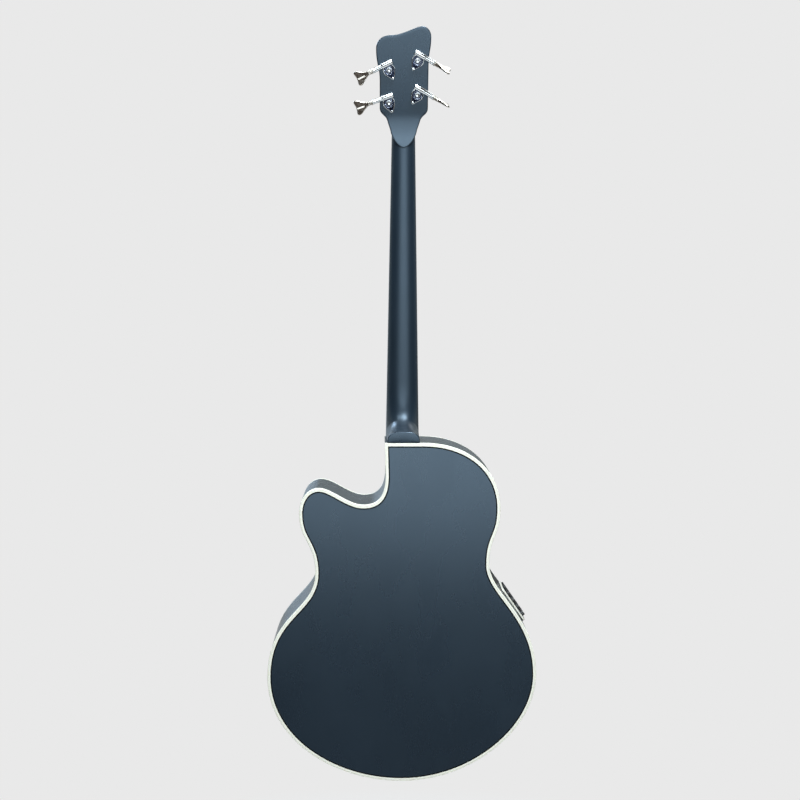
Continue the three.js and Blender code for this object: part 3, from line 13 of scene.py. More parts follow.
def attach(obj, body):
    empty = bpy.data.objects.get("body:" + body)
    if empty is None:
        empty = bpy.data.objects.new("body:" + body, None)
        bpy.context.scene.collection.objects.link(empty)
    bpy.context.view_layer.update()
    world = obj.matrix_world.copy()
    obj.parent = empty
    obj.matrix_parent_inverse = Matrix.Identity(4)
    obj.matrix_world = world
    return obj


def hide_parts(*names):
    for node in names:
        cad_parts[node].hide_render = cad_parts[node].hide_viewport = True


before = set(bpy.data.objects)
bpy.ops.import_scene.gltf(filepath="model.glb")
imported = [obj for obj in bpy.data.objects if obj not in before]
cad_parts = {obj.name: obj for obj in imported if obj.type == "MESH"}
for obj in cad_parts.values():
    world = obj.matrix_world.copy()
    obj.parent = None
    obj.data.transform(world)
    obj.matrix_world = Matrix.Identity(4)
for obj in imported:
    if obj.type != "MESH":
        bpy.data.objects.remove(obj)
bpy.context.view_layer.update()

METRES = 0.001
CREASE = 38
SEAT = 0.3
PIECES = bpy.context.scene.collection


# ---------------------------------------------------------------- shapes

class Form:
    """Corner points with the quads and triangles that join them, and marks kept for each corner."""

    def __init__(self, points, quads, triangles=(), **marks):
        self.points = np.asarray(points, float).reshape(-1, 3)
        self.quads = np.asarray(quads, int).reshape(-1, 4)
        self.triangles = np.asarray(triangles, int).reshape(-1, 3)
        self.marks = {name: np.asarray(mark, float).ravel() for name, mark in marks.items()}

    def moved(self, turn=np.eye(3), shift=(0, 0, 0)):
        """The same form after a 3 x 3 turn and a shift; a turn that mirrors also turns the faces over."""
        turn = np.asarray(turn, float)
        step = -1 if np.linalg.det(turn) < 0 else 1
        return Form(self.points @ turn.T + np.asarray(shift, float),
                    self.quads[:, ::step], self.triangles[:, ::step], **self.marks)

    def outward(self):
        """Faces turned so that the volume they enclose, the sum of a . (b x c) / 6, is positive."""
        faces = np.vstack([self.quads[:, [0, 1, 2]], self.quads[:, [0, 2, 3]], self.triangles])
        a, b, c = (self.points[faces[:, i]] for i in range(3))
        if np.einsum("ij,ij->", a, np.cross(b, c)) < 0:
            self.quads, self.triangles = self.quads[:, ::-1], self.triangles[:, ::-1]
        return self


def together(*forms):
    """Several closed forms in one mesh."""
    starts = np.cumsum([0] + [len(form.points) for form in forms])
    return Form(np.vstack([form.points for form in forms]),
                np.vstack([form.quads + start for form, start in zip(forms, starts)]),
                np.vstack([form.triangles + start for form, start in zip(forms, starts)]))


def unit(vectors):
    """Vectors brought to a length of 1."""
    return vectors / (np.linalg.norm(vectors, axis=-1, keepdims=True) + 1e-12)


def angles(count):
    """Even angles once round."""
    return 2 * np.pi * np.arange(count) / count


def net(rows, cols, wrap_rows=False, wrap_cols=False):
    """Quads of a rows x cols net of corners: each joins (i, j), (i, j + 1), (i + 1, j + 1), (i + 1, j)."""
    i = np.arange(rows if wrap_rows else rows - 1)[:, None]
    j = np.arange(cols if wrap_cols else cols - 1)[None, :]
    down, along = (i + 1) % rows, (j + 1) % cols
    corners = (i * cols + j, i * cols + along, down * cols + along, down * cols + j)
    return np.stack(np.broadcast_arrays(*corners), -1).reshape(-1, 4)


def skinned(rings, **marks):
    """Skin over closed rings of equal length, one per row; each end closes on the mean of its ring."""
    rings = np.asarray(rings, float)
    rows, cols = rings.shape[:2]
    count = rows * cols
    j = np.arange(cols)
    first = np.stack([np.full(cols, count), (j + 1) % cols, j], 1)
    last = np.stack([np.full(cols, count + 1), count - cols + j, count - cols + (j + 1) % cols], 1)
    points = np.vstack([rings.reshape(-1, 3), rings[0].mean(0), rings[-1].mean(0)])
    marks = {name: np.append(mark, [mark[0], mark[-1]]) for name, mark in marks.items()}
    return Form(points, net(rows, cols, wrap_cols=True), np.vstack([first, last]), **marks).outward()


def hooped(rows, **marks):
    """Skin over rows of corners that close both ways, such as a band round an opening."""
    rows = np.asarray(rows, float)
    return Form(rows, net(*rows.shape[:2], True, True), **marks).outward()


def round_row(radius, angle, level):
    """Corners (r cos a, level, r sin a)."""
    return np.column_stack([radius * np.cos(angle), level + 0 * angle, radius * np.sin(angle)])


def spun(profile, sides):
    """Rows of a profile of (radius, height) turned about Y."""
    return np.array([round_row(radius, angles(sides), height) for radius, height in profile])


def turned(profile, sides):
    """A piece turned about Y."""
    return skinned(spun(profile, sides))


def softened(profile, radius, steps=4, closed=False):
    """Corners rounded by quarter bends: b + (1 - t)^2 (a - b) + t^2 (c - b), a and c beside corner b.

    A bend takes at most 0.48 of the stretch to either side of its corner.
    """
    profile = np.asarray(profile, float)
    radius = np.broadcast_to(np.asarray(radius, float), len(profile))[:, None].copy()
    if not closed:
        radius[[0, -1]] = 0
    arms = []
    for neighbour in (np.roll(profile, 1, 0), np.roll(profile, -1, 0)):
        reach = neighbour - profile
        length = np.linalg.norm(reach, axis=1, keepdims=True) + 1e-9
        arms.append((reach / length * np.minimum(radius, 0.48 * length))[:, None])
    t = np.linspace(0, 1, steps + 1)[None, :, None]
    return (profile[:, None] + (1 - t) ** 2 * arms[0] + t ** 2 * arms[1]).reshape(-1, profile.shape[1])


def on_curve(points, t):
    """Bezier curve of 3 or 4 control points at the shares t."""
    p, t = np.asarray(points, float), np.asarray(t, float)[:, None]
    if len(p) == 3:
        return (1 - t) ** 2 * p[0] + 2 * t * (1 - t) * p[1] + t ** 2 * p[2]
    return (1 - t) ** 3 * p[0] + 3 * t * (1 - t) ** 2 * p[1] + 3 * t ** 2 * (1 - t) * p[2] + t ** 3 * p[3]


def bend(points, steps):
    """Bezier curve without its first point."""
    return on_curve(points, np.arange(1, steps + 1) / steps)


def drawn_in(line, inset, closed=True):
    """A line of (x, z) moved to its right by inset, along the mitre (n1 + n2) / (1 + n1 . n2) at each corner."""
    run = unit(np.roll(line, -1, 0) - line)
    after = np.stack([run[:, 1], -run[:, 0]], 1)
    if not closed:
        after[-1] = after[-2]
    before = np.roll(after, 1, 0)
    if not closed:
        before[0] = after[0]
    return line + (before + after) / (1 + np.sum(before * after, 1, keepdims=True)) * inset


def clockwise(outline):
    """The outline in the turn that makes drawn_in move it inwards."""
    x, z = outline[:, 0], outline[:, 1]
    area = np.sum(x * np.roll(z, -1) - np.roll(x, -1) * z)
    return outline[::-1] if area > 0 else outline


def level_of(level, line):
    """Levels along a line of (x, z), from a number or from a function of x and z."""
    x, z = line[..., 0], line[..., 1]
    return level(x, z) if callable(level) else np.full(np.shape(x), float(level))


def at_level(line, level):
    """A line of (x, z) as corners (x, level, z)."""
    return np.stack([line[..., 0], np.broadcast_to(level, line.shape[:-1]), line[..., 1]], -1)


def soft_slab(outline, bottom, top, radius, steps, rings=1, centre=None):
    """Flat piece in X and Z between two levels in Y, its rims rounded by quarter circles.

    A rim corner stands inset by r (1 - sin a) and short of its level by r (1 - cos a), a from 0 to 90 degrees.
    The faces close by rings that shrink towards the centre.
    """
    outline = clockwise(np.asarray(outline, float))
    centre = outline.mean(0) if centre is None else np.asarray(centre, float)
    flat = drawn_in(outline, radius)
    lines = [(centre + (flat - centre) * share, 0.0) for share in np.arange(1, rings) / rings]
    lines += [(drawn_in(outline, radius * (1 - np.sin(angle))), radius * (1 - np.cos(angle)))
              for angle in np.linspace(0, np.pi / 2, steps + 1)]
    under, over = ([at_level(line, level_of(level, line) + sign * short) for line, short in lines]
                   for level, sign in ((bottom, 1), (top, -1)))
    form = skinned(under + over[::-1])
    form.points[-2:] = [(centre[0], float(level_of(level, centre)), centre[1]) for level in (bottom, top)]
    return form


def shell(outer, inner, wrap=False, keep=None):
    """Two nets of corners joined round every open edge, so that a bent board with a window in it is closed.

    An edge is open where no kept quad runs along it the other way; a wall joins it to its twin on the inner net.
    """
    rows, cols = outer.shape[:2]
    count = rows * cols
    quads = net(rows, cols, wrap_rows=wrap)
    if keep is not None:
        quads = quads[keep(outer.reshape(-1, 3)[quads].mean(1))]
    edges = np.stack([quads, np.roll(quads, -1, 1)], -1).reshape(-1, 2)
    twins = edges[:, 1] * count + edges[:, 0]
    rim = edges[~np.isin(edges[:, 0] * count + edges[:, 1], twins)]
    walls = np.stack([rim[:, 1], rim[:, 0], rim[:, 0] + count, rim[:, 1] + count], 1)
    points = np.vstack([outer.reshape(-1, 3), inner.reshape(-1, 3)])
    return Form(points, np.vstack([quads, quads[:, ::-1] + count, walls]),
                inside=np.repeat([0.0, 1.0], count)).outward()


def tube(points, radius, sides, lean):
    """Round tube along points; lean gives for each the direction that the section's first axis keeps to."""
    run = unit(np.gradient(points, axis=0))
    side = unit(lean - run * np.sum(lean * run, 1, keepdims=True))
    up = np.cross(run, side)
    cosine, sine = np.cos(angles(sides))[None, :, None], np.sin(angles(sides))[None, :, None]
    rings = points[:, None] + radius * (cosine * side[:, None] + sine * up[:, None])
    length = np.concatenate([[0], np.cumsum(np.linalg.norm(np.diff(points, axis=0), axis=1))])
    return skinned(rings, run=np.repeat(length, sides))


def made(name, form, finish, nodes=(), body="instrument", crease=CREASE, inner=None):
    """The form as an object at the origin, in metres, riding on its body and standing for the CAD nodes named."""
    mesh = bpy.data.meshes.new(name)
    quads, triangles = form.quads, form.triangles
    mesh.vertices.add(len(form.points))
    mesh.vertices.foreach_set("co", (form.points * METRES).astype(np.float32).ravel())
    mesh.loops.add(quads.size + triangles.size)
    mesh.loops.foreach_set("vertex_index", np.concatenate([quads.ravel(), triangles.ravel()]).astype(np.int32))
    mesh.polygons.add(len(quads) + len(triangles))
    starts = np.concatenate([4 * np.arange(len(quads)), quads.size + 3 * np.arange(len(triangles))])
    mesh.polygons.foreach_set("loop_start", starts.astype(np.int32))
    mesh.update(calc_edges=True)
    for mark, values in form.marks.items():
        layer = mesh.attributes.new(mark, "FLOAT", "POINT")
        layer.data.foreach_set("value", values.astype(np.float32))
    mesh.materials.append(finish)
    if inner is not None:
        mesh.materials.append(inner)
        mesh.polygons.foreach_set("material_index", (form.marks["inside"][quads].min(1) > 0.5).astype(np.int32))
    mesh.validate()
    mesh.polygons.foreach_set("use_smooth", np.ones(len(mesh.polygons), bool))
    mesh.set_sharp_from_angle(angle=np.radians(crease))
    piece = bpy.data.objects.new(name, mesh)
    PIECES.objects.link(piece)
    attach(piece, body)
    if nodes:
        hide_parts(*([nodes] if isinstance(nodes, str) else nodes))
    return piece


def carved(piece, *cutters):
    """The piece with the cutters' forms taken out of it."""
    for form in cutters:
        tool = made(piece.name + "_tool", form, piece.data.materials[0])
        work = piece.modifiers.new("cut", "BOOLEAN")
        work.operation, work.solver, work.object = "DIFFERENCE", "EXACT", tool
        graph = bpy.context.evaluated_depsgraph_get()
        mesh = bpy.data.meshes.new_from_object(piece.evaluated_get(graph))
        piece.modifiers.clear()
        old, piece.data = piece.data, mesh
        bpy.data.meshes.remove(old)
        bpy.data.objects.remove(tool)
    piece.data.set_sharp_from_angle(angle=np.radians(CREASE))


def block(low, high):
    """A plain box between two corners."""
    low, high = np.asarray(low, float), np.asarray(high, float)
    corner = np.array([[0, 0], [1, 0], [1, 1], [0, 1]], float)
    return skinned(low + np.stack([at_level(corner, level) for level in (0, 1)]) * (high - low))


# ---------------------------------------------------------------- finishes

class Graph:
    """A node tree with short ways to add nodes; a socket's value may be another node's output."""

    def __init__(self, tree):
        self.tree = tree

    def fill(self, socket, value):
        """A socket linked to another node's output, or set to a plain value."""
        if isinstance(value, bpy.types.NodeSocket):
            self.tree.links.new(value, socket)
        else:
            socket.default_value = value

    def node(self, kind, **settings):
        """A shader node with its settings; in_ before a name or a number fills that socket."""
        added = self.tree.nodes.new("ShaderNode" + kind)
        for key, value in settings.items():
            if key.startswith("in_"):
                socket = key[3:]
                self.fill(added.inputs[int(socket) if socket.isdigit() else socket], value)
            else:
                setattr(added, key, value)
        return added

    def mark(self, name):
        """A mark that the piece's own corners carry."""
        return self.node("Attribute", attribute_name=name).outputs["Fac"]

    def place(self, stretch=(1, 1, 1)):
        """Object coordinates in metres, stretched."""
        coordinates = self.node("TexCoord").outputs["Object"]
        return self.node("Mapping", in_Vector=coordinates, in_Scale=stretch).outputs[0]

    def cloud(self, scale, detail=3.0, roughness=0.55, stretch=(1, 1, 1)):
        """Noise between 0 and 1 with scale cells to the metre."""
        return self.node("TexNoise", in_Vector=self.place(stretch), in_Scale=scale, in_Detail=detail,
                         in_Roughness=roughness).outputs[0]

    def spread(self, value, low, high, start=0.0, end=1.0):
        """A value between start and end carried linearly to low and high."""
        return self.node("MapRange", in_0=value, in_1=start, in_2=end, in_3=low, in_4=high).outputs[0]

    def tints(self, value, *stops):
        """A colour ramp through (place, colour) stops."""
        ramp = self.node("ValToRGB", in_0=value)
        elements = ramp.color_ramp.elements
        for element, (at, colour) in zip(elements, (stops[0], stops[-1])):
            element.position = at
            element.color = (*colour, 1)
        for at, colour in stops[1:-1]:
            elements.new(at).color = (*colour, 1)
        return ramp.outputs[0]

    def mixed(self, first, second, share, blend="MIX"):
        """Two colours mixed, or multiplied with blend MULTIPLY."""
        return self.node("Mix", data_type="RGBA", blend_type=blend, in_0=share, in_6=first, in_7=second).outputs[2]

    def sums(self, how, *values):
        """The result of one step of arithmetic."""
        return self.node("Math", operation=how, **{f"in_{i}": value for i, value in enumerate(values)}).outputs[0]


class Finish(Graph):
    """A new material. Its shader's sockets are filled by name, with _ for a space."""

    def __init__(self, name):
        self.material = bpy.data.materials.new(name)
        self.material.use_nodes = True
        super().__init__(self.material.node_tree)
        self.shader = self.tree.nodes["Principled BSDF"]

    def relief(self, height, strength, distance):
        """Bump from a height between 0 and 1, which stands for a step of the given metres."""
        bump = self.node("Bump", in_Height=height, in_Strength=strength, in_Distance=distance)
        self.tree.links.new(bump.outputs[0], self.shader.inputs["Normal"])

    def filled(self, **sockets):
        """The material, once the named sockets of its shader are filled."""
        for name, value in sockets.items():
            self.fill(self.shader.inputs[name.replace("_", " ")], value)
        return self.material


def satin_lacquer(name, dullest, glossiest, shine):
    """Blue-black satin lacquer over the closed grain of the timber: faint orange peel and wiped patches."""
    look = Finish(name)
    wiped = look.cloud(22.0, 4, stretch=(1, 1, 0.5))
    grain = look.cloud(900.0, 3, 0.6, (1, 1, 0.045))
    look.relief(look.sums("MULTIPLY_ADD", grain, 0.25, look.cloud(420.0, 2)), 0.012, 0.0004)
    return look.filled(
        Base_Color=look.tints(look.cloud(7.0), (0.3, (0.0055, 0.0115, 0.019)), (0.7, (0.007, 0.014, 0.023))),
        Roughness=look.spread(wiped, glossiest, dullest, 0.3, 0.7),
        Specular_IOR_Level=shine, Specular_Tint=(0.62, 0.8, 1.0, 1))


def bare_timber(name, light, dark, scale=1.0, roughness=0.62):
    """Unfinished timber: rays of growth lines along Z, pores stretched along them, and a slow drift of tone."""
    look = Finish(name)
    drift = look.node("TexNoise", in_Vector=look.place((1, 1, 0.2)), in_Scale=9.0).outputs[1]
    bent = look.node("VectorMath", operation="MULTIPLY_ADD", in_0=drift, in_1=(0.012, 0.012, 0.0),
                     in_2=look.place()).outputs[0]
    rings = look.node("TexWave", in_Vector=bent, in_Scale=110.0 * scale, in_Distortion=1.6, in_Detail=3.0,
                      bands_direction="X", wave_profile="SAW").outputs[1]
    pores = look.cloud(1500.0 * scale, 4, 0.7, (1, 1, 0.03))
    blend = look.sums("MULTIPLY_ADD", pores, 0.5, look.sums("MULTIPLY", rings, 0.5))
    look.relief(blend, 0.22, 0.0003)
    return look.filled(Base_Color=look.tints(blend, (0.2, dark), (0.75, light)),
                       Roughness=look.spread(pores, roughness + 0.1, roughness - 0.08))


def oiled_board(name):
    """Oiled dark hardwood: short open pores along Z over brown-black streaks."""
    look = Finish(name)
    streak = look.cloud(160.0, 5, 0.65, (1, 1, 0.06))
    pores = look.spread(look.cloud(2600.0, 2, 0.6, (1, 1, 0.05)), 0.0, 1.0, 0.56, 0.7)
    tone = look.tints(streak, (0.25, (0.012, 0.008, 0.006)), (0.55, (0.03, 0.018, 0.012)),
                      (0.8, (0.055, 0.032, 0.02)))
    shade = look.tints(pores, (0.0, (1, 1, 1)), (1.0, (0.25, 0.22, 0.2)))
    look.relief(pores, 0.35, -0.0002)
    return look.filled(Base_Color=look.mixed(tone, shade, 0.7, "MULTIPLY"),
                       Roughness=look.spread(streak, 0.34, 0.5))


def ivory_binding():
    """Cream celluloid binding: the inset mark draws a grey line let in 2 mm from the rim."""
    look = Finish("ivory_binding")
    cream = look.tints(look.cloud(160.0, 4), (0.3, (0.76, 0.75, 0.66)), (0.7, (0.84, 0.83, 0.74)))
    clear, grey = (1, 1, 1), (0.42, 0.43, 0.4)
    line = look.tints(look.spread(look.mark("inset"), 0.0, 1.0, 0.0, 5.0), (0.0, clear), (0.4, clear),
                      (0.415, grey), (0.455, grey), (0.47, clear), (1.0, clear))
    scuffs = look.cloud(900.0, 4, 0.7)
    look.relief(scuffs, 0.05, 0.0002)
    return look.filled(Base_Color=look.mixed(cream, line, 1.0, "MULTIPLY"),
                       Roughness=look.spread(scuffs, 0.26, 0.42),
                       Subsurface_Weight=0.06, Subsurface_Radius=(0.0015, 0.0012, 0.0008))


def polished_metal(name, colour, roughness, wear, scratch=1.0, stretch=(1, 1, 1)):
    """Plated or bare metal: hairlines from polishing, a film that dulls parts of it, and slightly worn tone."""
    look = Finish(name)
    film = look.cloud(190.0, 4, 0.6)
    look.relief(look.cloud(2600.0 * scratch, 3, 0.7, stretch), 0.005, 0.0001)
    return look.filled(Base_Color=look.tints(film, (0.35, tuple(c * wear for c in colour)), (0.65, colour)),
                       Roughness=look.spread(film, roughness * 0.7, roughness * 1.5, 0.3, 0.7), Metallic=1.0)


def wound_string():
    """Bronze wrap wire: the run mark along the string gives a ridge for each 0.55 mm turn of the wrap, and the
    grooves between turns carry painted shade.
    """
    look = Finish("wound_string")
    wave = look.sums("SINE", look.sums("MULTIPLY", look.mark("run"), 2 * np.pi / 0.55))
    ridge = look.spread(wave, 0.0, 1.0, -1.0, 1.0)
    look.relief(ridge, 0.6, 0.0001)
    # Dark brown in the grooves between turns is painted shade; the crests keep the bronze colour.
    return look.filled(Base_Color=look.tints(ridge, (0.1, (0.16, 0.09, 0.04)), (0.7, (0.72, 0.5, 0.27))),
                       Roughness=look.spread(look.cloud(260.0, 4), 0.24, 0.44), Metallic=1.0)


def moulded_plastic(name, colour, roughness=0.48, grain=1.0):
    """Moulded plastic: spark-eroded grain, and a slow change of gloss where fingers have polished it."""
    look = Finish(name)
    slow = look.cloud(60.0, 4)
    lighter = tuple(min(1.0, c * 1.35 + 0.002) for c in colour)
    look.relief(look.cloud(3200.0 * grain, 2, 0.6), 0.12, 0.0001)
    return look.filled(Base_Color=look.tints(slow, (0.3, colour), (0.75, lighter)),
                       Roughness=look.spread(slow, roughness - 0.08, roughness + 0.1))


def stained_line():
    """Black-dyed fibre of the purfling: nearly no shine, and thin spots where the dye has taken less."""
    look = Finish("black_purfling")
    dye = look.cloud(700.0, 4, 0.6)
    return look.filled(Base_Color=look.tints(dye, (0.35, (0.003, 0.004, 0.005)), (0.75, (0.008, 0.01, 0.012))),
                       Roughness=look.spread(dye, 0.6, 0.8), Specular_IOR_Level=0.06)


def polished_bone():
    """Bone: cream with faint darker flecks drawn out along X, polished by the strings."""
    look = Finish("polished_bone")
    flecks = look.cloud(1400.0, 3, 0.7, (0.2, 1, 1))
    look.relief(flecks, 0.05, 0.0001)
    return look.filled(Base_Color=look.tints(flecks, (0.3, (0.55, 0.48, 0.34)), (0.5, (0.78, 0.73, 0.58)),
                                             (0.8, (0.85, 0.81, 0.69))),
                       Roughness=look.spread(flecks, 0.22, 0.36),
                       Subsurface_Weight=0.08, Subsurface_Radius=(0.002, 0.0015, 0.001))


def pearl_inlay():
    """Shell inlay: cells with shifting pale greens and pinks."""
    look = Finish("pearl_inlay")
    cells = look.node("TexVoronoi", in_Vector=look.place(), in_Scale=700.0).outputs[1]
    hue = look.node("SeparateColor", in_0=cells).outputs[0]
    return look.filled(Base_Color=look.tints(hue, (0.1, (0.62, 0.74, 0.7)), (0.5, (0.82, 0.82, 0.76)),
                                             (0.9, (0.8, 0.68, 0.7))),
                       Roughness=look.spread(hue, 0.16, 0.34))


LACQUER = satin_lacquer("satin_lacquer", 0.29, 0.262, 0.8)
NECK_LACQUER = satin_lacquer("neck_lacquer", 0.41, 0.37, 0.7)
SPRUCE = bare_timber("raw_spruce", (0.68, 0.48, 0.26), (0.44, 0.27, 0.12))
INSIDE = bare_timber("inner_veneer", (0.42, 0.24, 0.12), (0.24, 0.12, 0.055), 0.7)
BINDING = ivory_binding()
BOARD = oiled_board("oiled_board")
CHROME = polished_metal("chrome_plate", (0.8, 0.84, 0.86), 0.12, 0.86)
STEEL = polished_metal("bare_steel", (0.5, 0.5, 0.51), 0.3, 0.7, 0.6, (1, 1, 0.1))
FRET_METAL = polished_metal("fret_wire", (0.72, 0.7, 0.66), 0.2, 0.8, 0.5, (0.1, 1, 1))
NICKEL = polished_metal("nickel_plate", (0.62, 0.58, 0.53), 0.13, 0.75)
GEAR_METAL = polished_metal("gear_metal", (0.36, 0.4, 0.5), 0.16, 0.6)
# Near-black plate at the floor of each machine's recess under the rim: its darkness is painted shade of the
# recess.
RECESS_SHADE_PLATE = polished_metal("recess_plate_painted_shade", (0.02, 0.028, 0.055), 0.2, 0.6)
WOUND = wound_string()
PLASTIC = moulded_plastic("panel_plastic", (0.011, 0.012, 0.014))
KNOB = moulded_plastic("knob_plastic", (0.016, 0.017, 0.019), 0.36, 0.6)
PURFLING = stained_line()
COVER = moulded_plastic("cover_plastic", (0.012, 0.013, 0.014), 0.3, 0.4)
CASE = moulded_plastic("battery_jacket", (0.05, 0.07, 0.11), 0.34, 0.3)
WHITE = moulded_plastic("white_mark", (0.62, 0.62, 0.58), 0.5, 0.5)
BONE = polished_bone()
PEARL = pearl_inlay()


# ---------------------------------------------------------------- body

SCALE = 863.6
FRETS = 21
JOINING_FRET = 15


def fret_at(fret):
    """Distance of a fret from the nut: -L (1 - 2^(-n/12))."""
    return -SCALE * (1 - 2.0 ** (-np.asarray(fret, float) / 12))


BODY_TOP = float(fret_at(JOINING_FRET))
BODY_LENGTH = 543.0
BODY_TAIL = BODY_TOP - BODY_LENGTH
BOARD_END = float(fret_at(FRETS)) - 6
HOLE_Z = BOARD_END - 60
HOLE_RADIUS = 50.0
PLATE_THICK = 3.0
SIDE_THICK = 2.4
BINDING_WIDE = 5.0
BINDING_DEEP = 6.15
BINDING_ROUND = 1.3
RIM_STEPS = 29
PANEL_STRETCH = 2
PANEL_AT = 0.53
PANEL_LEVEL = -53.0
WINDOW_HALF = (27.8, 21.8)

# Across, down from the body's top, and whether the rim runs level there
OUTLINE_KNOTS = np.array([
    (34, 0, 1), (156.2, 104.8, 0), (138.7, 194.8, 0), (215, 371.4, 0), (0, 543, 1), (-217.2, 375.3, 0),
    (-140.4, 208.3, 0), (-166.4, 113.2, 0), (-134.9, 72.3, 1), (-64.1, 99, 1), (-28.2, 52.3, 0),
], float)
OUTLINE_HANDLES = [
    (0.555, 0.62), (0.512, 0.534), (0.258, 0.538), (0.514, 0.522), (0.532, 0.576),
    (0.609, 0.37), (0.519, 0.45), (0.644, 0.515), (0.285, 0.344), (0.555, 0.826),
]


def outline_stretch(i):
    """The four control points of one stretch of the rim: handles run level or upright for a share of it."""
    (x0, d0, flat0), (x1, d1, flat1) = OUTLINE_KNOTS[i], OUTLINE_KNOTS[i + 1]
    start, end = np.array([x0, BODY_TOP - d0]), np.array([x1, BODY_TOP - d1])
    leave, arrive = OUTLINE_HANDLES[i]
    first = start + leave * (end - start) * ([1, 0] if flat0 else [0, 1])
    second = end + arrive * (start - end) * ([1, 0] if flat1 else [0, 1])
    return np.array([start, first, second, end])


def panel_frame():
    """Place and axes of the control panel: along the rim, out of it, and away from the soundboard."""
    before, at, after = on_curve(outline_stretch(PANEL_STRETCH), [PANEL_AT - 1e-4, PANEL_AT, PANEL_AT + 1e-4])
    run = unit(after - before)
    return np.array([at[0], PANEL_LEVEL, at[1]]), np.array([[run[0], 0, run[1]], [-run[1], 0, run[0]], [0, -1, 0]])


PANEL_PLACE, PANEL_AXES = panel_frame()


def rim_line():
    """The whole rim, clockwise as seen from behind, with corners at the ends of the panel's window."""
    lines = [np.array([[0.0, BODY_TOP], [17.0, BODY_TOP]])]
    tail = 0
    for i in range(len(OUTLINE_HANDLES)):
        control = outline_stretch(i)
        t = np.linspace(0, 1, RIM_STEPS)
        if i == PANEL_STRETCH:
            fine = np.linspace(0, 1, 4001)
            along = (on_curve(control, fine) - PANEL_PLACE[[0, 2]]) @ PANEL_AXES[0][[0, 2]]
            ends = np.interp([-WINDOW_HALF[0], WINDOW_HALF[0]], along, fine)
            t = np.sort(np.concatenate([t, ends]))
        lines.append(on_curve(control, t[1:] if i > 0 else t))
        if OUTLINE_KNOTS[i + 1, 0] == 0:
            tail = sum(len(line) for line in lines) - 1
    lines.append(np.array([[-28.95, BODY_TOP - 26.0], [-29.7, BODY_TOP], [-14.0, BODY_TOP]]))
    return np.vstack(lines), tail


RIM, TAIL = rim_line()


def back_level(x, z):
    """The back's outer face: 90 mm behind the soundboard at the neck and 132 mm at the tail."""
    return -(90 + 42 * (BODY_TOP - z) / BODY_LENGTH)


def over_back(height):
    """A level that stays the given height over the back's outer face."""
    return lambda x, z: back_level(x, z) + height


def carried(line, section, closed=True):
    """A section of (inset, level) carried along a line of the rim, as rows of corners."""
    moved = [drawn_in(line, inset, closed) for inset, _ in section]
    return np.stack([at_level(row, level_of(level, row)) for row, (_, level) in zip(moved, section)], 1)


def rim_band(profile, is_back):
    """Rows of a closed profile of (inset, depth under the outer face) carried along the whole rim."""
    return carried(RIM, [(inset, over_back(depth) if is_back else -depth) for inset, depth in profile])


def binding(is_back):
    """Binding strip: a round outer corner, and a rebate behind it for the board and the bent side."""
    quarter = [(BINDING_ROUND * (1 - np.cos(a)), BINDING_ROUND * (1 - np.sin(a)))
               for a in np.linspace(0, np.pi / 2, 6)]
    profile = [(BINDING_WIDE, PLATE_THICK), (SIDE_THICK, PLATE_THICK), (SIDE_THICK, BINDING_DEEP),
               (0.0, BINDING_DEEP), (0.0, PLATE_THICK), *quarter, (2.3, 0.0), (3.6, 0.0), (4.4, 0.0),
               (BINDING_WIDE, 0.0)]
    rows = rim_band(profile, is_back)
    inset = [inset if depth < PLATE_THICK else 0.0 for inset, depth in profile]
    return hooped(rows, inset=np.broadcast_to(inset, rows.shape[:2]))


def purfling(is_back):
    """Black line let into the board beside its binding, 2.1 mm wide and 0.06 mm proud of the lacquer."""
    return hooped(rim_band([(5.01, 0.5), (5.01, -0.04), (5.2, -0.06), (6.9, -0.06), (7.1, -0.04), (7.1, 0.5)],
                           is_back))


def board_plate(level, hole, sign):
    """A plate inside the binding: rings from a round hole out to the outline, front and back."""
    edge = drawn_in(RIM, BINDING_WIDE + 0.02)
    angle = np.arctan2(edge[:, 1] - HOLE_Z, edge[:, 0])
    inner = np.column_stack([hole * np.cos(angle), HOLE_Z + hole * np.sin(angle)])
    flat = inner + (edge - inner) * np.linspace(0, 1, 9)[:, None, None]
    outer, inward = (at_level(flat, level_of(level, flat) + sign * depth).transpose(1, 0, 2)
                     for depth in (0.0, PLATE_THICK))
    return shell(outer, inward, wrap=True)


def bent_side(line):
    """Half of the bent sides between the bindings, with the window for the control panel left open."""
    start = BINDING_DEEP - 0.1
    levels = [-start, PANEL_LEVEL + WINDOW_HALF[1], PANEL_LEVEL, PANEL_LEVEL - WINDOW_HALF[1], over_back(start)]
    outer, inner = (carried(line, [(inset, level) for level in levels], closed=False)
                    for inset in (0.0, SIDE_THICK))

    def keep(middles):
        """True for the quads outside the window."""
        along, out, down = np.abs((middles - PANEL_PLACE) @ PANEL_AXES.T).T
        return ~((along < WINDOW_HALF[0]) & (down < WINDOW_HALF[1]) & (out < 12))

    return shell(outer, inner, keep=keep)


def rosette_ring():
    """Inlaid rings round the soundhole: a flat ring whose inset mark draws its lines."""
    inner, outer = HOLE_RADIUS + 4, HOLE_RADIUS + 13
    profile = [(radius, 0.05) for radius in (inner, inner + 2, inner + 4.5, outer - 2, outer)]
    form = hooped(spun([(inner, -1.2), *profile, (outer, -1.2)], 160)).moved(shift=(0, 0, HOLE_Z))
    distance = np.hypot(form.points[:, 0], form.points[:, 2] - HOLE_Z)
    form.marks["inset"] = (distance - inner) * BINDING_WIDE / (outer - inner)
    return form


